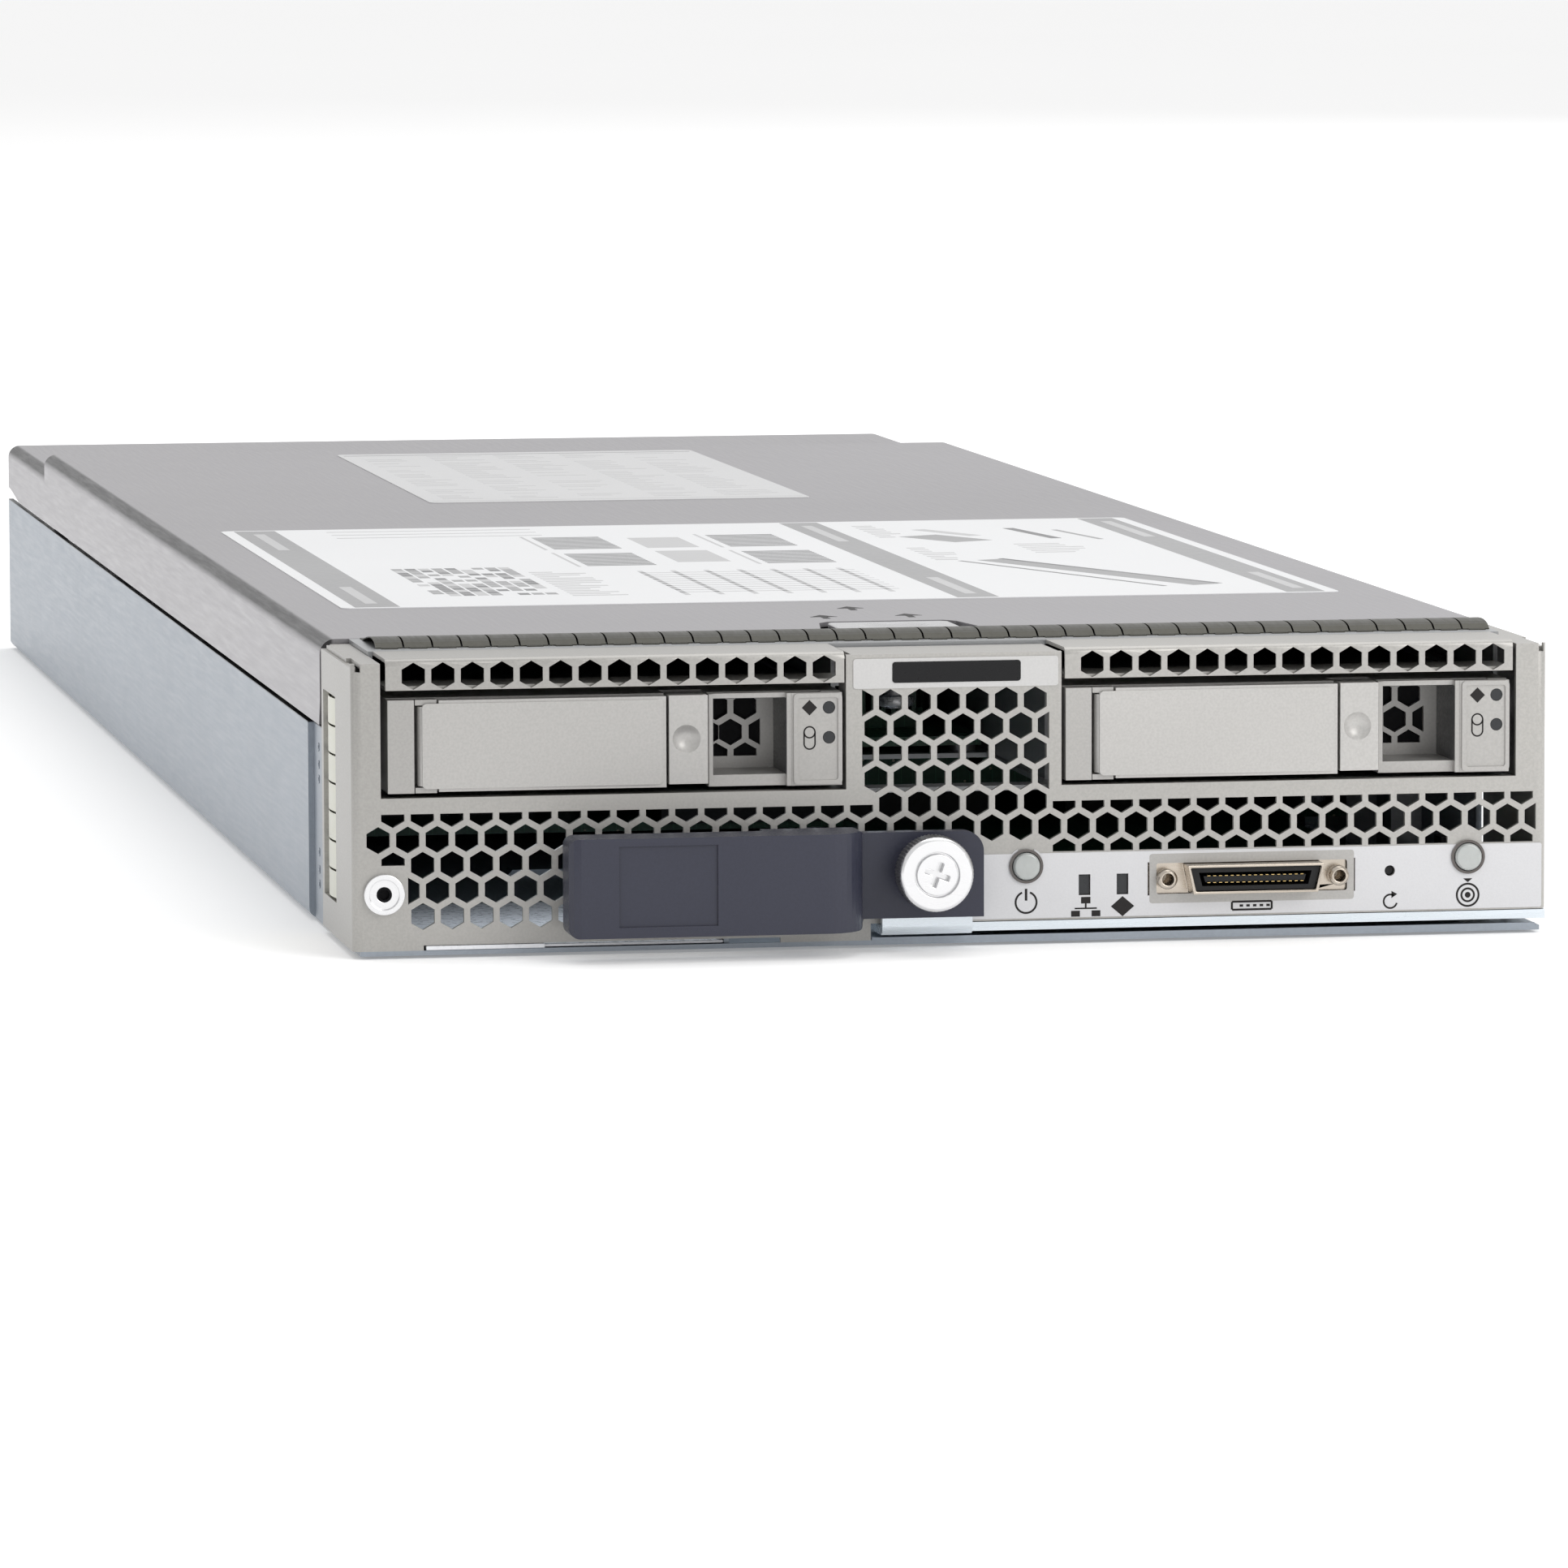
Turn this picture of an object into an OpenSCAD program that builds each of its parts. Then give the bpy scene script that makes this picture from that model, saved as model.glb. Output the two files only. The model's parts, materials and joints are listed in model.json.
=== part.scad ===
// Half-width blade server: sheet-metal tray and cover, perforated front,
// two hot-swap 2.5 inch drives, ejector lever with captive thumbscrew,
// front console port, main board with two processors and 24 memory modules.
// Millimetres. X across the front, +Y to the rear, +Z up.
// Origin: centre of the outline, on the underside.

/* [Enclosure] */
// Overall width
body_w = 203.2; // [203.2:0.1:203.2]
// Overall height, labels included
body_h = 49.5; // [49.4:0.1:49.6]
// Depth from the front face to the rear edge
body_d = 617; // [612:1:625]
// Sheet thickness of tray floor and cover
sheet_t = 0.8; // [0.7:0.1:0.8]
// Height of the tray's side walls
wall_h = 33.8; // [33:0.1:34]
// Depth at which the cover's rear strip steps down
step_y = 530; // [520:1:540]
// Drop of the rear strip
step_drop = 3.4; // [3:0.1:3.6]

/* [Front grille] */
// Centre distance of the hexagonal holes
hex_p = 4.925; // [4.925:0.005:4.925]
// Width of a hexagonal hole across its flats
hex_af = 3.9; // [3.6:0.05:4.1]
// Thickness of the front panel
panel_t = 1.0; // [0.8:0.1:1.0]

/* [Ejector] */
// Distance of the lever's pivot from the centre line
pivot_x = 92; // [92:0.5:92.5]
// Pivot depth behind the front face
pivot_y = 14; // [14:0.5:14.5]
// How far the grip stands in front of the face
grip_out = 15; // [15:0.5:15]
// Radius of the thumbscrew's shank
shank_r = 2.0; // [1.95:0.01:2]
// Radius of the thumbscrew's knob
knob_r = 6.2; // [5.8:0.1:6.2]

/* [Drives] */
// Distance between the two drive bays' centres
bay_pitch = 114.3; // [114.3:0.1:114.3]
// Width of a drive
drive_w = 69.85; // [69.6:0.05:69.85]
// Height of a drive
drive_h = 15; // [14.8:0.1:15]
// Length of a drive
drive_l = 100; // [98:0.5:100]

/* [Boards] */
// Height of the main board's underside
board_z = 6.4; // [6.4:0.1:6.6]
// Thickness of the main board
board_t = 1.6; // [1.6:0.1:1.6]
// Memory modules beside each processor, each side
dimms = 6; // [1:1:6]
// Pitch of the memory sockets
dimm_p = 7.8; // [7.6:0.1:7.8]

/* [Hidden] */
$fn = 48;
hw = body_w/2;
y_mid = (body_d - grip_out)/2;   // moves the outline's centre to the origin
lab_t = 0.2;
top_z = body_h - lab_t;          // cover's top skin
rear_z = top_z - step_drop;
hex_r = hex_af/sqrt(3);
hh = hex_af/2;
row_h = hex_p*sqrt(3)/2;
hx0 = -92.358;                   // first full hole of row 0
hz0 = 19.285;                    // height of row 0
scr_x = -6.0; scr_z = 13.2;      // thumbscrew axis
lev_z0 = 1.95; lev_z1 = 3.45;
bay_x0 = -95.6; bay_x1 = -19.3;  // left carrier
bt = board_z + board_t;          // main board's upper face
cpu_y = [217, 367];
dimm_y = [150, 300];

// ---------- helpers ----------
module at() translate([0,-y_mid,0]) children();
module bx(x0,x1,y0,y1,z0,z1) translate([x0,y0,z0]) cube([x1-x0,y1-y0,z1-z0]);
module cy(x,z,y0,y1,r) translate([x,y0,z]) rotate([-90,0,0]) cylinder(r=r,h=y1-y0);
module cyc(x,z,y0,y1,r1,r2) translate([x,y0,z]) rotate([-90,0,0]) cylinder(r1=r1,r2=r2,h=y1-y0);
module cz(x,y,z0,z1,r) translate([x,y,z0]) cylinder(r=r,h=z1-z0);
module xz(y0,y1) translate([0,y1,0]) rotate([90,0,0]) linear_extrude(height=y1-y0) children();
module yz(x0,x1) translate([x0,0,0]) rotate([90,0,90]) linear_extrude(height=x1-x0) children();
module rr(x0,y0,x1,y1,r){
  translate([x0+r,y0]) square([x1-x0-2*r,y1-y0]);
  translate([x0,y0+r]) square([x1-x0,y1-y0-2*r]);
  for(x=[x0+r,x1-r],y=[y0+r,y1-r]) translate([x,y]) circle(r=r);
}
// pointed-top hexagon, whole or one half of it
module hx(x,z,k="full",r=hex_r,h=hh) translate([x,z]) polygon(
  k=="lo" ? [[-h,0],[-h,-r/2],[0,-r],[h,-r/2],[h,0]] :
  k=="up" ? [[-h,0],[h,0],[h,r/2],[0,r],[-h,r/2]] :
  k=="rt" ? [[0,r],[0,-r],[h,-r/2],[h,r/2]] :
  k=="lf" ? [[0,r],[-h,r/2],[-h,-r/2],[0,-r]] :
            [[0,r],[-h,r/2],[-h,-r/2],[0,-r],[h,-r/2],[h,r/2]]);
function hxe(i) = hx0 + i*hex_p;
function hxo(i) = hx0 + (i+0.5)*hex_p;
function hz(n) = hz0 + n*row_h;

// ---------- enclosure ----------
module tray_u(){ // cross-section of the tray: floor and two walls with rounded bends
  difference(){
    rr(-hw,0,hw,wall_h+10,1.6);
    rr(-hw+1,sheet_t,hw-1,wall_h+20,0.8);
    translate([-hw-1,wall_h]) square([2*hw+2,40]);
  }
}
module base_tray() color([0.62,0.64,0.67]) at() {
  difference(){
    union(){
      xz(59,body_d) tray_u();
      bx(-hw+1.2,hw-1.2,0,59.5,0,sheet_t);
      // front sections of the walls, stepped inward
      for(s=[-1,1]) bx(s>0?hw-2:-hw+1, s>0?hw-1:-hw+2, 41,60,0,wall_h);
      // front lip below the ejector lever
      bx(-14.3,99.6,0,0.8,0,1.25);
      // guides of the pull-out tag
      for(x=[-90.6,-39.2]) bx(x,x+0.9,1.4,66,sheet_t-0.1,2.3);
      bx(-90.6,-88.6,1.4,66,1.7,2.3); bx(-40.2,-38.3,1.4,66,1.7,2.3);
      // low rear lip between the connectors
      bx(-46,-30,body_d-sheet_t,body_d,0,6); bx(30,46,body_d-sheet_t,body_d,0,6);
      // stiffening beads on the floor
      for(y=[110,290,450]) xz(y,y+5) polygon([[-60,sheet_t-0.1],[60,sheet_t-0.1],[59,1.8],[-59,1.8]]);
    }
    // beads are hollow underneath
    for(y=[110,290,450]) xz(y+0.9,y+4.1) polygon([[-59,-0.1],[59,-0.1],[58.2,1.0],[-58.2,1.0]]);
    // lead-in corners at the rear of the walls
    for(x=[-hw-1,hw-2]) translate([x,body_d,wall_h]) rotate([45,0,0]) cube([3,4,4],center=false);
    // seats of the flush standoffs
    for(p=stand_pos) cz(p[0],p[1],-1,2,3.2);
    // pivot pin seat
    cz(pivot_x,pivot_y,-1,2,2);
  }
}
module cover_sec(zt,zl){ // cover cross-section
  difference(){
    rr(-hw,zl-10,hw,zt,2.6);
    rr(-hw+sheet_t,zl-20,hw-sheet_t,zt-sheet_t,1.8);
    translate([-hw-1,zl-30]) square([2*hw+2,30]);
  }
}
module cover_full(zt,zl) difference(){ rr(-hw,zl-10,hw,zt,2.6); translate([-hw-1,zl-30]) square([2*hw+2,30]); }
module top_cover() color([0.6,0.59,0.61]) at() {
  zl = wall_h+0.8;
  difference(){
    union(){
      xz(42,step_y+sheet_t) cover_sec(top_z,zl);
      xz(step_y,body_d) cover_sec(rear_z,zl);
      // riser between the two levels
      intersection(){
        xz(step_y,step_y+sheet_t) cover_full(top_z,zl);
        bx(-hw,hw,step_y,step_y+sheet_t,rear_z-sheet_t,top_z);
      }
      // tabs that locate inside the tray's walls
      for(s=[-1,1], y=[90,230,370,500]) {
        bx(s>0?hw-2.1:-hw+0.5, s>0?hw-0.5:-hw+2.1, y,y+22,36,40);
        bx(s>0?hw-2.1:-hw+1.3, s>0?hw-1.3:-hw+2.1, y,y+22,28,37);
      }
    }
    // notch for the latch
    translate([0,0,top_z-3]) linear_extrude(height=6) polygon([[-15.5,41],[-13,57],[-11,59.5],[9,59.5],[11,57],[13.5,41]]);
    // rising lower edge at the rear corners
    for(x=[-hw-1,hw-2]) yz(x,x+3) polygon([[body_d-24,zl-1],[body_d+1,zl-1],[body_d+1,zl+1.9],[body_d-6,zl+1.6],[body_d-24,zl]]);
    // front edges of the side flanges lean back a little
    for(x=[-hw-1,hw-2]) yz(x,x+3) polygon([[41,zl-1],[44,zl-1],[42,zl+4],[41,zl+4]]);
  }
}
module cover_latch() color([0.75,0.75,0.76]) at() {
  difference(){
    translate([0,0,top_z-1.3]) linear_extrude(height=1.3) union(){
      rr(-11.6,43.2,9.6,57.6,1.6);
    }
    // finger dish
    translate([-1,50.5,top_z+22.2]) sphere(r=23,$fn=96);
  }
  cz(-1,50.5,35,top_z-1.0,2.0);
  cz(-1,50.5,35.4,37.2,3.4);
}
module service_label_front() color([0.9,0.9,0.91]) at()
  translate([0,0,top_z]) linear_extrude(height=lab_t) rr(-90,103,90,292,2);
module service_label_rear() color([0.86,0.87,0.87]) at()
  translate([0,0,top_z]) linear_extrude(height=lab_t) rr(-39,362,39.5,515,2);

// ---------- front panel ----------
module panel_outline() polygon([
  [-100,0.8],[-14.5,0.8],[-14.5,3.6],[100,3.6],[100,48.6],[96.2,48.6],[96.2,26.2],[18.0,26.2],
  [18.0,48.7],[-18.6,48.7],[-18.6,26.2],[-96.8,26.2],[-96.8,48.6],[-100,48.6]]);
module panel_holes(){
  for(i=[-1:38]) hx(hxe(i),hz(0));
  hx(99.72,hz(0),"lf");
  for(i=[-1:15]) hx(hxo(i),hz(1),"lo");
  for(i=[22:38]) hx(hxo(i),hz(1),"lo");
  for(i=[16:21]) { hx(hxo(i),hz(1)); hx(hxe(i),hz(2)); hx(hxo(i),hz(3)); hx(hxe(i),hz(4)); hx(hxo(i),hz(5)); }
  hx(15.9,hz(2),"lf"); hx(15.9,hz(4),"lf");
  hx(-15.9,hz(3),"rt"); hx(-15.9,hz(5),"rt");
  hx(hxo(-1),hz(-1),"up");
  for(i=[0:14]) { hx(hxo(i),hz(-1)); hx(hxo(i),hz(-3)); }
  hx(hxe(0),hz(-2),"rt");
  for(i=[1:14]) hx(hxe(i),hz(-2));
  for(i=[22:38]) if(i!=36) hx(hxo(i),hz(-1),"up");
}
module front_panel() color([0.66,0.65,0.64]) at() {
  difference(){
    union(){
      xz(0,panel_t) difference(){
        panel_outline();
        panel_holes();
        translate([-96.4,10.3]) circle(r=2.6);            // threaded insert
        translate([scr_x,scr_z]) circle(r=3.1);           // thumbscrew nut
        translate([11.9,12.7]) circle(r=2.8);             // power button
        translate([87.9,12.7]) circle(r=2.8);             // locator button
        translate([74.4,10.6]) circle(r=0.9);             // reset
        translate([20.9,7.6]) square([2,3.5]);            // status windows
        translate([27.4,7.6]) square([2,3.5]);
        translate([32.7,7.3]) square([35.7,5.6]);         // console port
        translate([-89.8,0.7]) square([60,0.95]);         // tag slot
      }
      // vertical bends and side flanges
      for(s=[-1,1]) {
        intersection(){
          translate([s*(hw-1.6),1.6,0]) difference(){ cylinder(r=1.6,h=48.6); translate([0,0,-1]) cylinder(r=0.6,h=60); }
          bx(s>0?hw-1.6:-hw, s>0?hw:-hw+1.6, 0,1.6, s>0?3.6:0.8, 48.6);
        }
        bx(s>0?hw-1:-hw, s>0?hw:-hw+1, 1.6,40, s>0?3.6:0.8, 47.9);
      }
      bx(hw-1,hw,26,40,0.8,4);
      // folded tops of the corner posts
      bx(-100.1,-96.8,0.5,40,47.8,48.6); bx(96.2,100.1,0.5,40,47.8,48.6);
      bx(-100.9,-100.1,12,38,46.9,48.6); bx(100.1,100.9,12,38,46.9,48.6);
      // folded top of the centre column
      bx(-17.6,17.6,0.5,15,47.9,48.7);
      // inward folds of the centre column and of the lower bay edges
      bx(-18.6,-17.8,0.5,7,26.2,48.0); bx(17.2,18.0,0.5,7,26.2,48.0);
      bx(-96.6,-19,0.5,3,25.4,26.2); bx(18.4,96,0.5,3,25.4,26.2);
      // inner foot that the tray is riveted to
      bx(-100.6,-93,0.5,12,0.8,1.6);
    }
    // corner reliefs
    bx(-101.0,-100.1,-1,2.2,47.2,50); bx(100.1,101.0,-1,2.2,47.2,50);
    // window of the left contact strip
    bx(-hw-1,-hw+2,21.5,37.5,6.6,41.3);
  }
}
module control_overlay() color([0.78,0.78,0.79]) at()
  xz(-0.2,0) difference(){
    union(){ rr(2.2,3.9,hw-0.9,14.8,0.4); translate([11.9,12.7]) circle(r=3.2); }
    translate([11.9,12.7]) circle(r=2.9);
    translate([87.9,12.7]) circle(r=2.9);
    translate([10.5,14.0]) square([2.8,3]);
    translate([86.5,14.0]) square([2.8,3]);
    translate([74.4,10.6]) circle(r=0.9);
    translate([20.9,7.6]) square([2,3.5]);
    translate([27.4,7.6]) square([2,3.5]);
    translate([32.7,7.3]) square([35.7,5.6]);
  }
module name_strip() color([0.76,0.76,0.76]) at()
  xz(-0.2,0) rr(-17.4,43.0,17.4,48.0,0.5);
module name_inlay() color([0.1,0.1,0.1]) at()
  xz(-0.3,-0.2) rr(-10.8,43.9,11,47.4,0.5);
module panel_insert() color([0.82,0.82,0.82]) at() difference(){
  union(){ cy(-96.4,10.3,-0.9,0,3.4); cy(-96.4,10.3,-0.1,6.5,2.6); }
  cy(-96.4,10.3,-0.95,-0.5,2.5);
  cy(-96.4,10.3,-2,5.5,1.25);
}
module vent_strip(){ // local: left strip
  xz(0,0.6) translate([-95.9,44.1]) square([77,4.05]);
  // upper bend into the top flange
  yz(-95.9,-18.9) difference(){
    union(){ intersection(){ translate([1.2,48.1]) circle(r=1.2); translate([0,48.1]) square([1.2,1.3]); } translate([1.1,48.7]) square([14.9,0.6]); }
    translate([1.2,48.1]) circle(r=0.6);
  }
  bx(-95.9,-18.9,0.5,12,44.1,44.7);
}
module vent_slots(){ for(i=[0:14]) xz(-1,1.2) hx(-91.24+i*hex_p,46.46); }
module vent_strip_left() color([0.7,0.69,0.68]) at() difference(){ vent_strip(); vent_slots(); }
module vent_strip_right() color([0.7,0.69,0.68]) at() translate([114.5,0,0]) difference(){ vent_strip(); vent_slots(); }

// one curved contact finger, width w, in its own Y-Z plane
module finger2(l,h,t){ // chord l, rise h
  R = (l*l/4+h*h)/(2*h);
  intersection(){
    difference(){ translate([0,h-R]) circle(r=R,$fn=1440); translate([0,h-R]) circle(r=R-t,$fn=1440); }
    translate([-l/2,0]) square([l,h+1]);
  }
}
function fz(u) = 1.32*sin(180*pow(u,0.62)); // rise of a contact finger along its length
module finger_top() polygon(concat(
  [for(i=[0:14]) [21+17.5*i/14, fz(i/14)+0.18]],
  [for(i=[14:-1:0]) [21+17.5*i/14, fz(i/14)]]));
module emi_gasket_top() color([0.24,0.24,0.2]) at() {
  difference(){
    bx(-94.8,97.1,37.5,41.2,49.3,49.48);
    for(i=[0:37]) bx(-90.49+i*4.92,-89.59+i*4.92,37,39.2,49,50);
  }
  for(i=[0:38]) { x = -94.8+i*4.92; translate([0,0,49.3]) yz(x,x+4.6) finger_top(); bx(x+0.9,x+3.7,19.8,21.6,49.3,49.46); }
}
module emi_gasket_left() color([0.76,0.76,0.7]) at() difference(){
  union(){
    bx(-100.6,-100.4,20.6,38.4,5.6,42.2);
    for(i=[0:6]) translate([-100.58,29.5,7.05+i*4.86]) rotate([0,0,90]) linear_extrude(height=4.5) finger2(15.4,0.98,0.18);
  }
  for(i=[0:5], y=[21.2,34.8]) bx(-102,-100,y,y+3,11.3+i*4.86,12.16+i*4.86);
}

// ---------- drive cage ----------
module drive_cage() color([0.6,0.61,0.62]) at() difference(){
  union(){
    bx(-96.7,96.05,3.3,122,25.2,26.0);
    for(x=[[-96.7,-95.95],[-19.0,-18.25],[17.65,18.4],[95.3,96.05]]) bx(x[0],x[1],12.4,122,25.6,47.8);
    bx(-96.6,97.2,16.2,41.4,48.6,49.3);
    bx(-96.6,96.0,40.6,41.4,47.2,49.3);
    bx(-96.7,96.05,40.6,122,47.2,48.0);
    for(x=[-96.7,95.3]) bx(x,x+0.75,16.2,41,47,49.3);
    bx(-19.0,-18.25,16.2,41,47,48.8); bx(17.65,18.4,16.2,41,47,48.8);
    // studs under the storage controller
    for(x=[-14,13.6],y=[65,113]) cz(x,y,25.9,27.2,2.3);
    // feet on the tray
    for(x=[-96.5,90.5]) { bx(x,x+5.5,100,100.8,0.8,25.6); bx(x,x+5.5,100,110,0.8,1.6); }
    for(x=[-96.5,90.5]) { bx(x,x+5.5,66,66.8,0.8,25.6); bx(x,x+5.5,66,76,0.8,1.6); }
  }
  // air duct between the bays
  bx(-17.5,17,9,60,24,27);
  // opening under the latch
  bx(-12.4,10.4,40,60,46,48.1);
  bx(-12.4,10.4,42,60,48,50);
}
module latch_bracket() color([0.62,0.63,0.64]) at() difference(){
  union(){
    for(x=[-13.4,10.4]) bx(x,x+1.0,46,55,39.4,47.2);
    bx(-13.4,11.4,46,55,39.4,40.2);
  }
  cz(-1,50.5,38,42,2.05);
}
module drive_backplane() color([0.1,0.32,0.22]) at() difference(){
  bx(-96,95.5,122.1,123.7,14,47);
  bx(-17,17,121,125,27,48);
  for(x=[-88,-27,27,88]) cy(x,18,120,125,1.7);
}
module backplane_connectors() color([0.12,0.12,0.13]) at() {
  for(x=[-57.45,56.85]) difference(){
    bx(x-19,x+19,117.3,122.1,29.5,35.5);
    bx(x-17,x+17,117.2,120.5,31.6,33.4);
  }
  bx(-30,30,123.7,134,bt,16.4);
  bx(44,74,123.7,134,bt,16.4);
}
module storage_controller() color([0.12,0.3,0.2]) at() {
  difference(){ bx(-16.8,16.4,62,116,27.2,28.8); for(x=[-14,13.6],y=[65,113]) cz(x,y,26,30,1.5); }
  bx(-9,9,80,98,28.8,31.2);
  for(i=[0:9]) bx(-8.6+i*1.8,-7.8+i*1.8,80.5,97.5,31.2,36);
  for(x=[-14,10]) bx(x,x+3.6,102,112,28.8,30.2);
}

// ---------- ejector ----------
module ejector_lever() color([0.72,0.76,0.8]) at() difference(){
  union(){
    translate([0,0,lev_z0]) linear_extrude(height=lev_z1-lev_z0) union(){
      polygon([[-13.3,-2.7],[2,-2.7],[2,0.2],[101.4,0.2],[101.4,13],[99,18],[85,19],[60,14.5],[-13.3,12.5]]);
      translate([pivot_x,pivot_y]) circle(r=9);
    }
    // bend and upright plate behind the grip
    translate([-13.3,-2.7,lev_z1]) rotate([0,90,0]) cylinder(r=1.5,h=15.3);
    xz(-4.2,-2.7) polygon([[-13.3,3.45],[2,3.45],[2,18.4],[-32,18.4],[-32,5.6],[-13.3,5.6]]);
  }
  cz(pivot_x,pivot_y,0,6,3.05);
  cy(scr_x,scr_z,-6,0,3.2);
  for(z=[9,15]) cy(-26,z,-6,0,1.25);
  bx(-14,3,-2.69,-0.5,3.46,8);
}
module grip_plan() polygon(concat(
  [[-67.5,-7],[-67.5,-13.6],[-66.8,-14.6],[-65.6,-15]],
  [for(a=[90:-9:0]) [-24.2+6.9*cos(a),-7-8*sin(a)]],
  [[3.4,-7],[3.4,-4.25],[-34,-4.25],[-34,-7]]));
module grip_front(){
  rr(-67.5,3.8,-17.0,20.3,1.6);
  difference(){
    translate([-20,5.2]) square([23.4,14.4]);
    translate([0,16.2]) square([4,4]);
  }
  translate([0,16.2]) circle(r=3.4);
}
module ejector_handle() color([0.27,0.28,0.33]) at() difference(){
  intersection(){
    translate([0,0,3]) linear_extrude(height=18) grip_plan();
    xz(-16,-3) grip_front();
  }
  // hollow back
  bx(-65.3,-34,-12.8,-3,6,18.1);
  bx(-34.1,-25.5,-12.8,-8,6,18.1);
  bx(-34.1,-17.5,-6.5,-4.2,3,18.9);
  // shallow badge recess, left plain
  bx(-59.3,-42.8,-16,-14.6,5.6,19.0);
  // thumbscrew passage
  cy(scr_x,scr_z,-8,-6.2,4.4);
  cy(scr_x,scr_z,-7,-3,3.2);
  for(z=[9,15]) cy(-26,z,-8.1,-4,1.0);
  // open lower corner over the steel plate
  bx(-13.6,4,-4.5,-3,3,5.2);
}
module handle_screws() color([0.75,0.76,0.78]) at() for(z=[9,15]) {
  cy(-26,z,-2.7,-1.5,2.2); cy(-26,z,-7.6,-2.7,1.0);
}
module lever_pivot_pin() color([0.78,0.79,0.8]) at() difference(){
  union(){ cz(pivot_x,pivot_y,0,1.0,2.0); cz(pivot_x,pivot_y,0.8,1.7,5.0); cz(pivot_x,pivot_y,1.0,4.0,3.0); cz(pivot_x,pivot_y,3.75,4.9,5.2); }
  cz(pivot_x,pivot_y,4.4,5.2,1.6);
}
module thumbscrew() color([0.82,0.84,0.84]) at() difference(){
  union(){
    cyc(scr_x,scr_z,-grip_out,-14.5,knob_r-0.45,knob_r);
    cy(scr_x,scr_z,-14.5,-10.5,knob_r);
    difference(){ cy(scr_x,scr_z,-10.6,-9.7,knob_r-0.25); cy(scr_x,scr_z,-10.5,-9,knob_r-1.6); }
    cy(scr_x,scr_z,-10.6,-1.2,shank_r);
    cyc(scr_x,scr_z,-1.2,-0.5,shank_r,shank_r-0.6);
  }
  // dished face
  difference(){ cy(scr_x,scr_z,-16,-14.2,3.8); cy(scr_x,scr_z,-16.5,-14.0,3.42); }
  // cross recess
  for(a=[20,110]) translate([scr_x,-15.1,scr_z]) rotate([0,a,0]) cube([4.3,3.2,0.95],center=true);
}
module thumbscrew_washer() color([0.15,0.15,0.16]) at() difference(){
  cy(scr_x,scr_z,-10.4,-9.7,3.9); cy(scr_x,scr_z,-11,-9,shank_r+0.06);
}
module thumbscrew_spring() color([0.7,0.71,0.73]) at() translate([scr_x,0,scr_z]) rotate([-90,0,0])
  for(i=[0:3]) translate([0,0,-9.45+i*0.78]) rotate_extrude($fn=32) translate([3.0,0]) circle(r=0.22,$fn=16);
module thumbscrew_ferrule() color([0.75,0.75,0.77]) at() difference(){
  union(){ cy(scr_x,scr_z,-6.85,-6.2,4.2); cy(scr_x,scr_z,-6.3,-2.2,3.1); }
  cy(scr_x,scr_z,-7,-1,shank_r+0.06);
}
module thumbscrew_nut() color([0.75,0.75,0.77]) at() difference(){
  union(){ cy(scr_x,scr_z,0,1,3.1); cy(scr_x,scr_z,1,5.5,4.2); }
  cy(scr_x,scr_z,-1,6.5,shank_r+0.08);
}

// ---------- front controls ----------
module push_button(x,z) { cyc(x,z,-1.3,-1.0,2.0,2.3); cy(x,z,-1.0,3.2,2.3); cy(x,z,1.6,2.4,3.1); cy(x,z,3.0,4.4,1.4); }
module power_button() color([0.7,0.72,0.72]) at() push_button(11.9,12.7);
module locator_button() color([0.7,0.72,0.72]) at() push_button(87.9,12.7);
module reset_button() color([0.15,0.15,0.15]) at() { cy(74.4,10.6,0.6,3.2,0.7); cy(74.4,10.6,1.6,2.4,1.6); cy(74.4,10.6,3.0,4.4,1.0); }
module status_light_pipes() color([0.3,0.32,0.33]) at() for(x=[20.9,27.4]) {
  bx(x+0.08,x+1.92,0.25,5.4,7.68,11.02);
  bx(x-0.6,x+2.6,1.05,2.2,7.0,11.7);
}
module dsec(w1,w2,h) polygon([[-w1/2,h/2],[-w2/2,-h/2],[w2/2,-h/2],[w1/2,h/2]]);
module console_shell() color([0.78,0.76,0.74]) at() translate([50.6,0,10.1]) difference(){
  union(){
    xz(0.5,1.0) square([35.5,5.4],center=true);
    xz(1.0,1.8) square([36.6,6.4],center=true);
    xz(-3.6,0.6) dsec(23.4,21.4,4.9);
    xz(1.7,5.5) square([25,5.6],center=true);
    bx(-12.5,12.5,5.4,17,-2.1,2.8);
  }
  xz(-4.6,5.3) dsec(22.4,20.5,4.0);
  for(s=[-1,1]) cy(s*14.75,0,0,3,1.5);
}
module console_insulator() color([0.06,0.06,0.06]) at() translate([50.6,0,10.1]) {
  difference(){
    xz(-2.9,5.3) dsec(22.2,20.3,3.8);
    xz(-4,4) dsec(19.4,18.2,2.3);
  }
  // tongue with two contact rows
  difference(){ xz(-2.5,5) dsec(17.6,17.0,1.0); for(i=[0:16],z=[-0.5,0.38]) bx(-8.2+i*1.0,-7.7+i*1.0,-2.6,5,z,z+0.12); }
}
module console_jackposts() color([0.8,0.77,0.72]) at() for(s=[-1,1]) difference(){
  union(){ cy(50.6+s*14.75,10.1,-1.6,0.5,1.7); cy(50.6+s*14.75,10.1,0.4,4.6,1.45); cyc(50.6+s*14.75,10.1,-2.0,-1.6,1.3,1.7); }
  cy(50.6+s*14.75,10.1,-3,4,1.0);
}
module asset_tag() color([0.93,0.93,0.94]) at() {
  bx(-89.4,-39.5,0.3,62,0.98,1.4);
  bx(-89.4,-69.6,-0.4,1.3,0.9,1.55);
}

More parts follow.
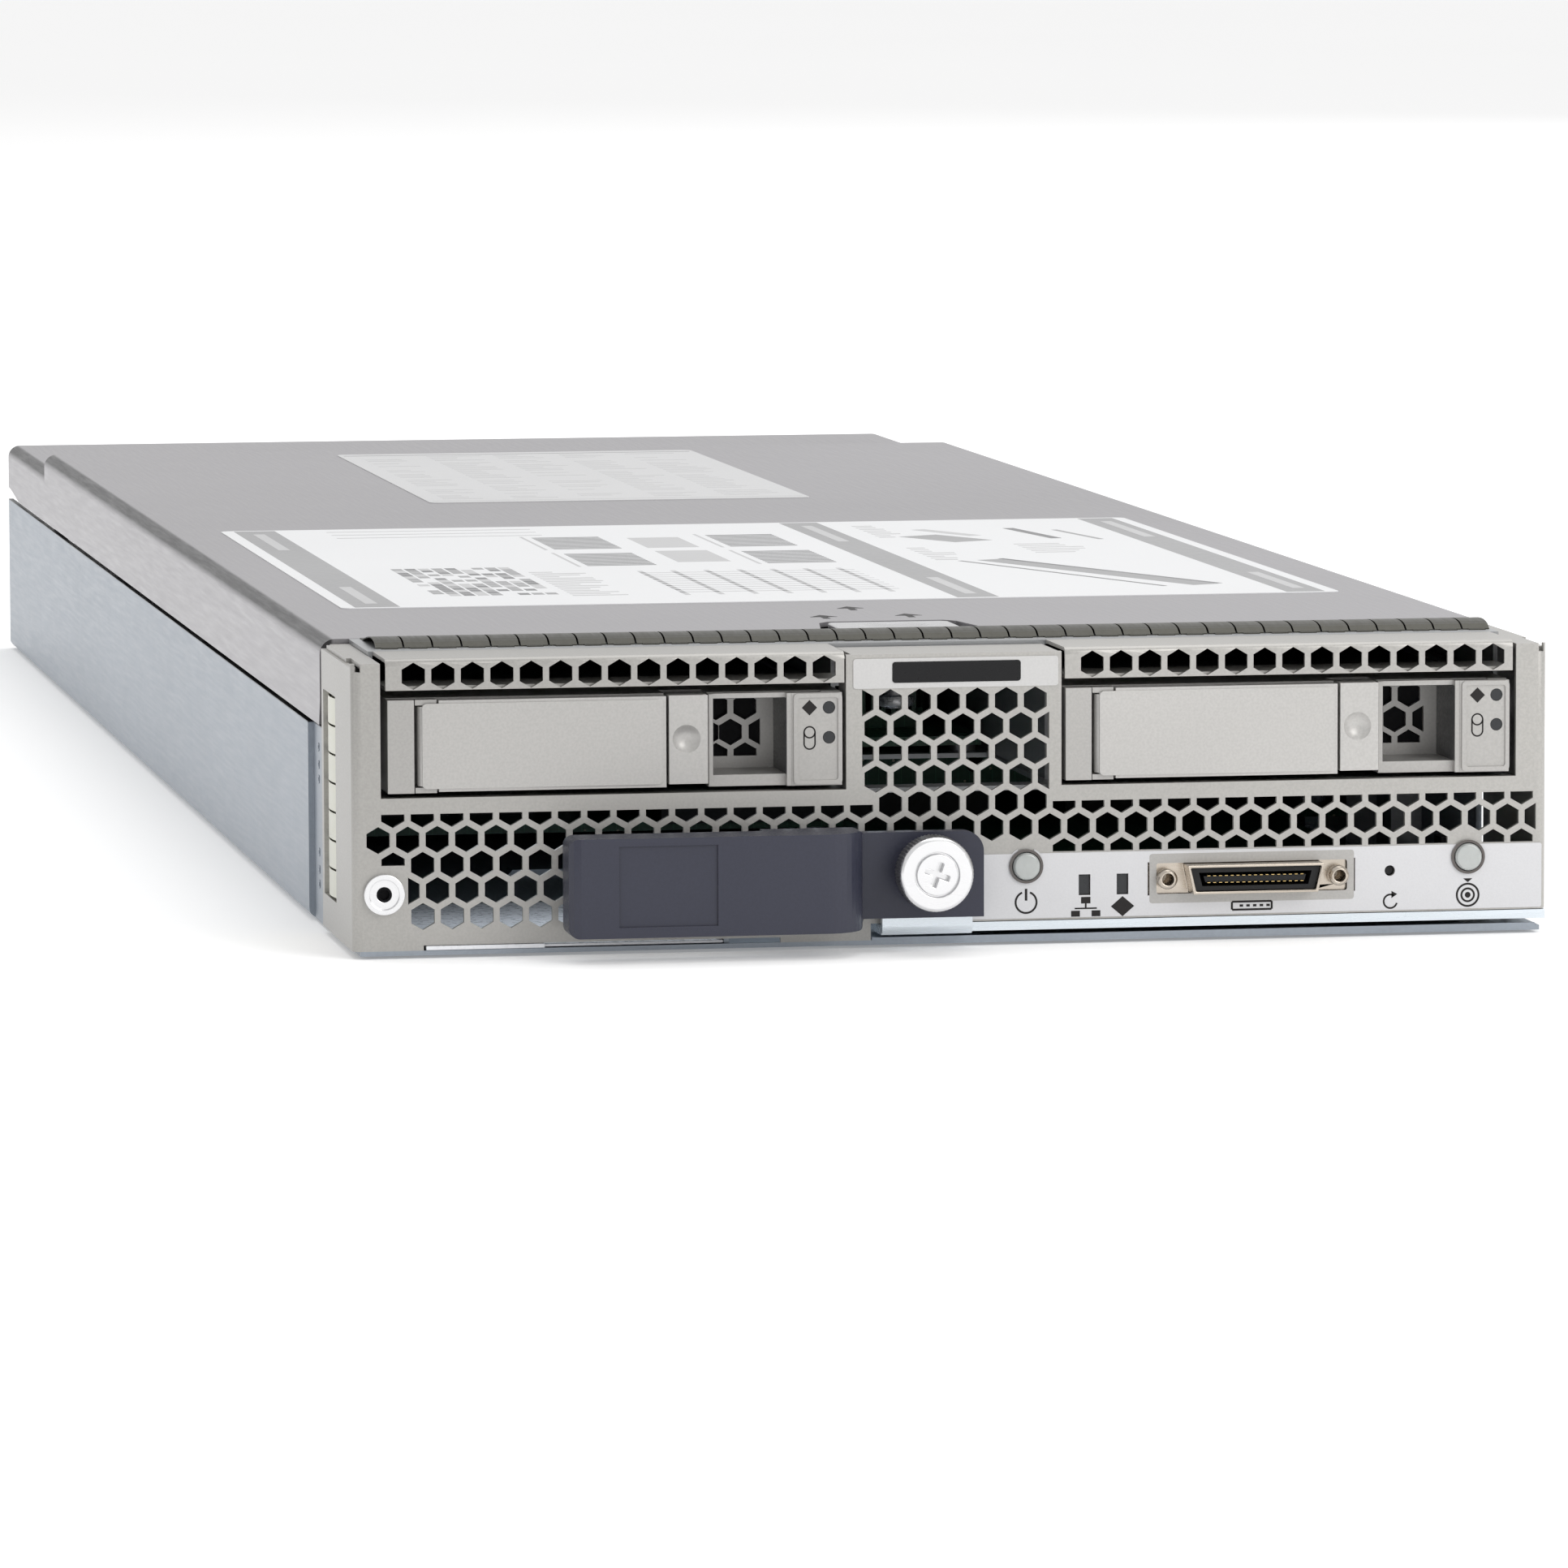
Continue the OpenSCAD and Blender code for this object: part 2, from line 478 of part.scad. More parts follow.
// ---------- hot-swap carriers (drawn for the left bay) ----------
module carrier() {
  x0=bay_x0; x1=bay_x1; rw=(x1-x0-drive_w)/2;
  difference(){
    union(){
      // side rails
      bx(x0,x0+rw,4,117,27.0,42.6);
      bx(x1-rw,x1,2,117,27.0,42.6);
      // hinge block
      bx(x0,x0+4.4,-0.2,16,27.0,42.5);
      // floor and roof of the front section
      bx(x0,x1,3.2,16.5,27.0,27.8); bx(x0,x1,3.2,16.5,41.8,42.6);
      // ears that hold the lever's pin
      bx(x0+4.6,x0+8.2,0.1,6,27.0,27.9); bx(x0+4.6,x0+8.2,0.1,6,41.6,42.5);
      // wall behind the lever
      bx(x0+4.6,x0+47,6,7,27.4,42.2);
      // pocket walls and sill
      bx(-41.6,-40.9,1.2,14.2,27.2,42.4);
      bx(-28.6,-27.7,0.2,14.2,27.0,42.5);
      bx(-41.6,-28,1.6,14.2,27.0,28.9);
      bx(-41.6,-28,1.6,14.2,41.7,42.5);
      // perforated rear wall of the pocket
      xz(13.2,14.2) difference(){
        translate([-41.6,27.2]) square([13.9,15.2]);
        hx(-38.4,39.2); hx(-33.475,39.2); hx(-30.9,34.935,"lf");
        hx(-35.94,34.935); hx(-39.9,34.935,"rt");
        hx(-38.4,30.9,"up"); hx(-33.475,30.9,"up");
      }
      // indicator column with a raised rim
      bx(-27.8,x1,0.1,16.5,27.0,42.5);
      difference(){ xz(-0.3,0.2) rr(-27.5,27.2,x1,42.4,0.7); xz(-0.5,0) rr(-26.8,27.9,x1-0.7,41.7,0.5); }
      // runners
      for(x=[x0+0.5,x1-2.5]) bx(x,x+2,20,117,26.35,27.1);
    }
    // button's well
    bx(-48.9,-41.6,-1,9,26,43.4);
    // light pipe holes
    for(z=[40.0,35.0]) cy(-21.5,z,-1,18,1.06);
    // pin hole
    cz(x0+6.3,1.0,26,44,0.62);
    // vents in the side rails
    for(y=[30:14:100]) for(x=[x0-1,x1-rw]) bx(x,x+rw+1,y,y+8,31,38.5);
  }
}
module carrier_lever() {
  x0=bay_x0; px=x0+6.3;
  difference(){
    union(){
      bx(px+2.2,-49.0,-0.3,1.9,27.2,42.4);
      bx(px,px+2.4,-0.3,1.9,28.15,41.35);
      cz(px,1.0,28.15,41.35,1.3);
      // raised pad of the plate
      xz(-0.6,-0.2) rr(px-0.6,27.7,-49.6,41.9,0.8);
      // ribs behind
      for(z=[29,40]) bx(px+3,-51,1.8,4.6,z,z+1.2);
      bx(-52,-51,1.8,4.6,29,41.2);
    }
    cz(px,1.0,26,44,0.65);
  }
}
module carrier_button() difference(){
  union(){
    bx(-48.55,-42.0,-0.4,5.6,27.7,42.5);
    bx(-47.6,-43,5.5,6.6,33,37);
  }
  // thumb dimple
  translate([-45.6,-2.4,35.2]) sphere(r=3.1,$fn=64);
  // bevel along the right edge
  translate([-42.0,-0.4,26]) rotate([0,0,45]) cube([1.3,1.3,40],center=false);
}
module carrier_pin() cz(bay_x0+6.3,1.0,27.0,42.5,0.6);
module carrier_light_pipes() for(z=[40.0,35.0]) { cy(-21.5,z,0.15,17,1.0); }
module drive25(){
  cx=(bay_x0+bay_x1)/2;
  difference(){
    bx(cx-drive_w/2,cx+drive_w/2,17,17+drive_l,27.3,27.3+drive_h);
    // connector well and label step
    bx(cx-17,cx+17,17+drive_l-5,17+drive_l+1,29,36);
    bx(cx-drive_w/2-1,cx-drive_w/2+1.2,16,30,38,44); bx(cx+drive_w/2-1.2,cx+drive_w/2+1,16,30,38,44);
    for(s=[-1,1],y=[14.0,90.6]) translate([cx+s*(drive_w/2),17+y,30.3]) rotate([0,s*90,0]) translate([0,0,-3]) cylinder(r=1.25,h=4);
  }
}
module carrier_left() color([0.6,0.6,0.6]) at() carrier();
module carrier_lever_left() color([0.68,0.68,0.67]) at() carrier_lever();
module carrier_button_left() color([0.66,0.66,0.66]) at() carrier_button();
module carrier_pin_left() color([0.8,0.8,0.8]) at() carrier_pin();
module carrier_light_pipes_left() color([0.1,0.1,0.1]) at() carrier_light_pipes();
module drive_left() color([0.7,0.7,0.72]) at() drive25();
module carrier_right() color([0.6,0.6,0.6]) at() translate([bay_pitch,0,0]) carrier();
module carrier_lever_right() color([0.68,0.68,0.67]) at() translate([bay_pitch,0,0]) carrier_lever();
module carrier_button_right() color([0.66,0.66,0.66]) at() translate([bay_pitch,0,0]) carrier_button();
module carrier_pin_right() color([0.8,0.8,0.8]) at() translate([bay_pitch,0,0]) carrier_pin();
module carrier_light_pipes_right() color([0.1,0.1,0.1]) at() translate([bay_pitch,0,0]) carrier_light_pipes();
module drive_right() color([0.7,0.7,0.72]) at() translate([bay_pitch,0,0]) drive25();

// ---------- boards ----------
stand_pos = [[-93,140],[93,140],[0,140],[-93,291],[93,291],[0,292],[-93,444],[93,444],[0,447],[-93,580],[93,580],[60,40]];
module motherboard() color([0.09,0.3,0.2]) at() difference(){
  translate([0,0,board_z]) linear_extrude(height=board_t) polygon([[-98,128],[4,128],[4,5.6],[94,5.6],[94,60],[82,60],[82,128],[98,128],[98,588],[-98,588]]);
  for(p=stand_pos) cz(p[0],p[1],0,12,1.7);
  for(y=cpu_y, sx=[-1,1], sy=[-1,1]) cz(sx*40,y+sy*46,0,12,2.2);
  bx(-6,6,570,589,5,9);
}
module board_standoffs() color([0.75,0.76,0.78]) at() for(p=stand_pos) difference(){
  union(){ cz(p[0],p[1],0,0.8,3.2); translate([p[0],p[1],0.8]) cylinder(r=2.9,h=board_z-0.8,$fn=6); }
  cz(p[0],p[1],2.4,board_z+1,1.5);
}
module board_screws() color([0.8,0.8,0.82]) at() for(p=stand_pos) difference(){
  union(){ cz(p[0],p[1],bt-2.4,bt,1.5); cz(p[0],p[1],bt,bt+1.7,2.9); }
  translate([p[0],p[1],bt+1.3]) for(a=[0,90]) rotate([0,0,a]) cube([3.2,0.7,1.6],center=true);
}
module cpu_sockets() color([0.14,0.14,0.15]) at() for(y=cpu_y) {
  difference(){ bx(-36,36,y-39,y+39,bt,bt+2.8); bx(-27,27,y-31,y+31,bt+1.4,bt+4); }
  bx(-26,26,y-30,y+30,bt+1.4,bt+4.0);
}
hs_z0 = bt+4.0; hs_z1 = 45.6;
module heatsink(y) difference(){
  union(){
    bx(-45,45,y-54,y+54,hs_z0,hs_z0+4);
    for(i=[0:35]) bx(-44.5+i*2.5286,-44.0+i*2.5286,y-54,y+54,hs_z0+3.9,hs_z1);
  }
  for(sx=[-1,1],sy=[-1,1]) {
    bx(sx*40-5.5,sx*40+5.5,y+sy*46-8.5,y+sy*46+8.5,hs_z0+4,hs_z1+1);
    cz(sx*40,y+sy*46,0,30,2.3);
  }
}
module heatsinks() color([0.72,0.73,0.74]) at() for(y=cpu_y) heatsink(y);
module heatsink_screws() color([0.78,0.78,0.8]) at() for(y=cpu_y, sx=[-1,1], sy=[-1,1]) translate([sx*40,y+sy*46,0]) difference(){
  union(){ cylinder(r=2.0,h=hs_z0+9); translate([0,0,hs_z0+4]) cylinder(r=3.6,h=6); }
  translate([0,0,-1]) cylinder(r=9,h=bt-1.4+1);
  translate([0,0,hs_z0+9]) cylinder(r=2,h=5,$fn=6);
}
function dimm_x(s,i) = s*(52.8+dimm_p*i);
module dimm_sockets() color([0.08,0.08,0.09]) at() for(y=dimm_y, s=[-1,1], i=[0:dimms-1]) difference(){
  union(){
    bx(dimm_x(s,i)-3.1,dimm_x(s,i)+3.1,y-4,y+138,bt,bt+5);
    for(q=[0,1]) bx(dimm_x(s,i)-3.1,dimm_x(s,i)+3.1, q?y+134.2:y-4, q?y+138:y-0.2, bt,bt+16);
  }
  bx(dimm_x(s,i)-0.9,dimm_x(s,i)+0.9,y-0.1,y+134.1,bt+1.5,bt+6);
}
module dimm(){ // one memory module on its long edge
  difference(){ bx(-0.7,0.7,0,133.35,0,31); bx(-1,1,70,72.4,-1,3.2); for(y=[0,133.35]) translate([0,y,15]) rotate([0,90,0]) cylinder(r=2,h=3,center=true,$fn=24); }
  for(s=[-1,1]) for(k=[0:8]) bx(s>0?0.7:-1.7,s>0?1.7:-0.7,6+k*13.9,6+k*13.9+9.6,9,26.5);
}
module memory_modules() color([0.1,0.32,0.2]) at() for(y=dimm_y, s=[-1,1], i=[0:dimms-1]) translate([dimm_x(s,i),y+0.3,bt+1.5]) dimm();
module power_stages() color([0.3,0.3,0.32]) at() {
  for(y=[286.5,436.5]) for(i=[0:6]) bx(-40+i*12,-32+i*12,y-7,y+1,bt,bt+6.5);
  for(y=[152,301]) for(i=[0:5]) if(y<200) cz(-35+i*14,y,bt,bt+8,3.2);
  for(i=[0:4]) cz(60+i*8,452,bt,bt+9,3.4);
  // switches and lamps behind the front controls
  for(x=[11.9,87.9]) bx(x-3.2,x+3.2,5.7,10.5,bt,bt+7.4);
  bx(71.6,77.2,5.7,10.5,bt,bt+5);
  for(x=[21.9,28.4]) bx(x-1.2,x+1.2,5.7,8.2,bt,bt+3);
}
module mezzanine_cards() color([0.1,0.32,0.22]) at() for(s=[-1,1]) {
  xa = s>0?8:-96; xb = s>0?96:-8;
  difference(){ bx(xa,xb,460,586,24,25.6); for(x=[xa+4,xb-4],y=[464,560]) cz(x,y,20,30,1.6); }
  for(y=[474,556]) bx(s*52-30,s*52+30,y,y+8,bt,24);
  bx(s*50-22,s*50+22,494,538,25.6,28);
  for(i=[0:13]) bx(s*50-22+i*3.3,s*50-21.1+i*3.3,494,538,27.9,37.5);
  for(k=[0:3]) bx(s*50-38+k*20,s*50-30+k*20,545,553,25.6,27.4);
}
module midplane_connectors() color([0.1,0.1,0.11]) at() {
  for(s=[-1,1]) difference(){
    bx(s*70-20,s*70+20,588,611,bt-3,bt+14);
    for(i=[0:8],k=[0:2]) bx(s*70-18.4+i*4.2,s*70-15.6+i*4.2,604,612,bt-0.6+k*4.6,bt+2.6+k*4.6);
  }
  difference(){
    bx(-24,24,588,611,bt-3,bt+12);
    for(i=[0:5]) bx(-21.6+i*7.6,-17.4+i*7.6,600,612,bt-0.5,bt+10);
  }
}
module guide_sockets() color([0.7,0.7,0.72]) at() for(s=[-1,1]) difference(){
  union(){ bx(s*38-6.5,s*38+6.5,588,612,bt-3,bt+14); bx(s*38-6.5,s*38+6.5,588,609,0.8,bt-3); }
  cy(s*38,bt+6,593,620,4.0);
  cyc(s*38,bt+6,610,613,4.0,6.0);
}
module coin_battery() color([0.82,0.82,0.82]) at() { cz(-64,453.2,bt+1,bt+4.2,10); difference(){ bx(-75.5,-52.5,442,464,bt,bt+2.6); cz(-64,453.2,bt+1,bt+5,10.1); } }

base_tray();
top_cover();
cover_latch();
service_label_front();
service_label_rear();
front_panel();
control_overlay();
name_strip();
name_inlay();
panel_insert();
emi_gasket_top();
emi_gasket_left();
vent_strip_left();
vent_strip_right();
drive_cage();
latch_bracket();
drive_backplane();
backplane_connectors();
storage_controller();
ejector_lever();
ejector_handle();
lever_pivot_pin();
handle_screws();
thumbscrew();
thumbscrew_washer();
thumbscrew_spring();
thumbscrew_ferrule();
thumbscrew_nut();
power_button();
locator_button();
reset_button();
status_light_pipes();
console_shell();
console_insulator();
console_jackposts();
asset_tag();
carrier_left();
carrier_lever_left();
carrier_button_left();
carrier_pin_left();
carrier_light_pipes_left();
drive_left();
carrier_right();
carrier_lever_right();
carrier_button_right();
carrier_pin_right();
carrier_light_pipes_right();
drive_right();
motherboard();
board_standoffs();
board_screws();
cpu_sockets();
heatsinks();
heatsink_screws();
dimm_sockets();
memory_modules();
power_stages();
mezzanine_cards();
midplane_connectors();
guide_sockets();
coin_battery();
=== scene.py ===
import json
import math
import random
import bpy
import bmesh
from mathutils import Vector, Matrix


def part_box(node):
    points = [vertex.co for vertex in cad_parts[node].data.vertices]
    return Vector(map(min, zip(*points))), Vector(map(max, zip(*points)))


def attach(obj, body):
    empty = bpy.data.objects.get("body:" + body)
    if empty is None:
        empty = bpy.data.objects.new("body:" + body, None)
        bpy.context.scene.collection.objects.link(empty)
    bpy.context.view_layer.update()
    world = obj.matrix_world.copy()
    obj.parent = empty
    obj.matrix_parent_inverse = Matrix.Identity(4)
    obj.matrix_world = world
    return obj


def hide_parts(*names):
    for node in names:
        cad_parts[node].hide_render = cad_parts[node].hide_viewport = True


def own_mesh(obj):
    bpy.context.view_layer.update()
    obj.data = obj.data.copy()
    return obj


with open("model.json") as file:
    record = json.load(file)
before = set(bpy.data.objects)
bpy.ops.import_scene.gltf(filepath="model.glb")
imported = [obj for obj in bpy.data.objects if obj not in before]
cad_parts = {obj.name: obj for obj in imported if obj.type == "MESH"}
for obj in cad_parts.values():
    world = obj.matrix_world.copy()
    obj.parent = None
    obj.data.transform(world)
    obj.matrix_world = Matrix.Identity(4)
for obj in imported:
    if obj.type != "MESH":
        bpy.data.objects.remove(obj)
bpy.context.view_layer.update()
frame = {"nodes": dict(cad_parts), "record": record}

NODES = frame["nodes"]
Y0 = -301.0          # front face of the panel lies 301 mm in front of the row's origin
TOP = 49.3           # cover skin
WALL_TOP = float(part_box("base_tray")[1][2])     # top of the tray's walls, in metres
random.seed(7)


def P(x, y, z):
    """Front-frame millimetres to row-frame metres."""
    return Vector((x / 1000.0, (y + Y0) / 1000.0, z / 1000.0))


# ------------------------------------------------------------------ materials
def _new(name):
    m = bpy.data.materials.new(name)
    m.use_nodes = True
    nt = m.node_tree
    nt.nodes.clear()
    out = nt.nodes.new("ShaderNodeOutputMaterial")
    b = nt.nodes.new("ShaderNodeBsdfPrincipled")
    nt.links.new(b.outputs["BSDF"], out.inputs["Surface"])
    return m, nt, b


def N(nt, kind, **kw):
    n = nt.nodes.new(kind)
    for k, v in kw.items():
        setattr(n, k, v)
    return n


def coords(nt, scale=(1, 1, 1), loc=(0, 0, 0), rot=(0, 0, 0)):
    tc = N(nt, "ShaderNodeTexCoord")
    mp = N(nt, "ShaderNodeMapping")
    mp.inputs["Scale"].default_value = scale
    mp.inputs["Location"].default_value = loc
    mp.inputs["Rotation"].default_value = rot
    nt.links.new(tc.outputs["Object"], mp.inputs["Vector"])
    return mp.outputs["Vector"]


def noise(nt, vec, scale, detail=3.0, rough=0.5):
    n = N(nt, "ShaderNodeTexNoise")
    n.inputs["Scale"].default_value = scale
    n.inputs["Detail"].default_value = detail
    n.inputs["Roughness"].default_value = rough
    nt.links.new(vec, n.inputs["Vector"])
    return n.outputs["Fac"]


def ramp(nt, fac, stops):
    r = N(nt, "ShaderNodeValToRGB")
    el = r.color_ramp.elements
    while len(el) > 1:
        el.remove(el[-1])
    el[0].position = stops[0][0]
    el[0].color = tuple(stops[0][1]) + (1.0,) if len(stops[0][1]) == 3 else stops[0][1]
    for p, c in stops[1:]:
        e = el.new(p)
        e.color = tuple(c) + (1.0,) if len(c) == 3 else c
    nt.links.new(fac, r.inputs["Fac"])
    return r.outputs["Color"]


def maprange(nt, fac, a, b, c, d):
    m = N(nt, "ShaderNodeMapRange")
    for k, v in (("From Min", a), ("From Max", b), ("To Min", c), ("To Max", d)):
        m.inputs[k].default_value = v
    nt.links.new(fac, m.inputs["Value"])
    return m.outputs["Result"]


def mixc(nt, fac, a, b, mode="MIX"):
    m = N(nt, "ShaderNodeMix", data_type="RGBA", blend_type=mode)
    if isinstance(fac, (int, float)):
        m.inputs["Factor"].default_value = fac
    else:
        nt.links.new(fac, m.inputs["Factor"])
    for sock, v in ((m.inputs[6], a), (m.inputs[7], b)):
        if isinstance(v, (tuple, list)):
            sock.default_value = tuple(v) + (1.0,) if len(v) == 3 else v
        else:
            nt.links.new(v, sock)
    return m.outputs[2]


def math1(nt, op, a, b=None, c=None):
    m = N(nt, "ShaderNodeMath", operation=op)
    for i, v in enumerate((a, b, c)):
        if v is None:
            continue
        if isinstance(v, (int, float)):
            m.inputs[i].default_value = v
        else:
            nt.links.new(v, m.inputs[i])
    return m.outputs[0]


def bump(nt, b, height, strength, dist):
    n = N(nt, "ShaderNodeBump")
    n.inputs["Strength"].default_value = strength
    n.inputs["Distance"].default_value = dist
    nt.links.new(height, n.inputs["Height"])
    nt.links.new(n.outputs["Normal"], b.inputs["Normal"])


def shade(c, k):
    return tuple(min(1.0, x * k) for x in c)


def plain(name, col, rough=0.45, metal=0.0, vary=0.06, grain=900.0, bumpk=0.15, rvary=0.08,
          spec=None, coat=0.0, trans=0.0, big=8.0, bdist=0.00003):
    """Fine-grained moulded or painted surface."""
    m, nt, b = _new(name)
    v = coords(nt)
    n1 = noise(nt, v, big, 3)
    n2 = noise(nt, v, grain, 2)
    c1 = ramp(nt, n1, [(0.3, shade(col, 1 - vary)), (0.7, shade(col, 1 + vary))])
    c2 = ramp(nt, n2, [(0.35, (1 - vary,) * 3), (0.65, (1.0, 1.0, 1.0))])
    nt.links.new(mixc(nt, 1.0, c1, c2, "MULTIPLY"), b.inputs["Base Color"])
    nt.links.new(maprange(nt, n2, 0.3, 0.7, max(0.03, rough - rvary), min(1, rough + rvary)), b.inputs["Roughness"])
    b.inputs["Metallic"].default_value = metal
    if spec is not None:
        b.inputs["Specular IOR Level"].default_value = spec
    if coat:
        b.inputs["Coat Weight"].default_value = coat
        b.inputs["Coat Roughness"].default_value = 0.2
    if trans:
        b.inputs["Transmission Weight"].default_value = trans
    bump(nt, b, n2, bumpk, bdist)
    return m


def sheet(name, col, rough=0.38, metal=0.85, along="Y", vary=0.05, streak=0.10, shade_grad=None, spangle=0.0, bumpk=0.06):
    """Rolled galvanised sheet: fine streaks along one axis and slow cloudy variation."""
    m, nt, b = _new(name)
    sc = {"X": (60, 1400, 1400), "Y": (1400, 60, 1400), "Z": (1400, 1400, 60)}[along]
    v = coords(nt, sc)
    v0 = coords(nt)
    s = noise(nt, v, 1.0, 4, 0.6)
    n1 = noise(nt, v0, 5.0, 4, 0.55)
    n3 = noise(nt, v0, 2600.0, 2)
    c1 = ramp(nt, n1, [(0.28, shade(col, 1 - vary)), (0.72, shade(col, 1 + vary))])
    c2 = ramp(nt, s, [(0.3, (1 - streak,) * 3), (0.7, (1.0,) * 3)])
    c = mixc(nt, 1.0, c1, c2, "MULTIPLY")
    if spangle:
        vo = N(nt, "ShaderNodeTexVoronoi", feature="F1")
        vo.inputs["Scale"].default_value = 240.0
        nt.links.new(v0, vo.inputs["Vector"])
        c3 = ramp(nt, vo.outputs["Color"], [(0.2, (1 - spangle,) * 3), (0.8, (1.0,) * 3)])
        c = mixc(nt, 1.0, c, c3, "MULTIPLY")
    # optional painted shade: a gradient multiplied in along one axis; no material here uses it
    if shade_grad:
        axis, lo, hi, k0, k1 = shade_grad
        sx = N(nt, "ShaderNodeSeparateXYZ")
        nt.links.new(v0, sx.inputs[0])
        g = maprange(nt, sx.outputs[axis], lo, hi, 0.0, 1.0)
        c = mixc(nt, 1.0, c, ramp(nt, g, [(0.0, (k0,) * 3), (1.0, (k1,) * 3)]), "MULTIPLY")
    nt.links.new(c, b.inputs["Base Color"])
    nt.links.new(maprange(nt, s, 0.3, 0.7, rough - 0.05, rough + 0.07), b.inputs["Roughness"])
    b.inputs["Metallic"].default_value = metal
    mixn = math1(nt, "ADD", math1(nt, "MULTIPLY", s, 0.5), math1(nt, "MULTIPLY", n3, 0.5))
    bump(nt, b, mixn, bumpk, 0.00004)
    return m


MATS = {}


def band(nt, sock, stops):
    """Piecewise-linear mask of one coordinate, in metres."""
    lo, hi = stops[0][0], stops[-1][0]
    g = maprange(nt, sock, lo, hi, 0.0, 1.0)
    return ramp(nt, g, [((x - lo) / (hi - lo), (v, v, v)) for x, v in stops])


def cover_finish_and_bend_shade(name, col):
    """Galvanised cover: rolled streaks, cloudy variation and painted shade darkening the two long bends."""
    m = sheet(name, col, 0.36, 0.75, "Y", vary=0.06, streak=0.08)
    nt = m.node_tree
    b = [n for n in nt.nodes if n.type == "BSDF_PRINCIPLED"][0]
    old = b.inputs["Base Color"].links[0].from_socket
    v = coords(nt)
    sx = N(nt, "ShaderNodeSeparateXYZ")
    nt.links.new(v, sx.inputs[0])
    ax = math1(nt, "ABSOLUTE", sx.outputs[0])
    # painted shade: the base colour drops to 0.2 across the two long bends of the cover
    k = band(nt, ax, [(0.0980, 1.0), (0.0992, 1.0), (0.0997, 0.20), (0.10125, 0.20), (0.10145, 0.8), (0.1016, 1.0)])
    nt.links.new(mixc(nt, 1.0, old, k, "MULTIPLY"), b.inputs["Base Color"])
    return m


def tray_finish_and_edge_shadow(name, col):
    """Galvanised tray: fine spangle, and a painted shadow on the top edge of the walls in the gap under the cover."""
    m = sheet(name, col, 0.38, 0.72, "Y", spangle=0.03)
    nt = m.node_tree
    b = [n for n in nt.nodes if n.type == "BSDF_PRINCIPLED"][0]
    old = b.inputs["Base Color"].links[0].from_socket
    v = coords(nt)
    sx = N(nt, "ShaderNodeSeparateXYZ")
    nt.links.new(v, sx.inputs[0])
    # painted shadow: the base colour drops to 0.06 on the top edge of the walls, where the gap under the cover lies in
    # shade
    k = band(nt, sx.outputs[2], [(0.0300, 1.0), (WALL_TOP - 0.00025, 1.0), (WALL_TOP - 0.00005, 0.06), (0.0400, 0.06)])
    nt.links.new(mixc(nt, 1.0, old, k, "MULTIPLY"), b.inputs["Base Color"])
    return m


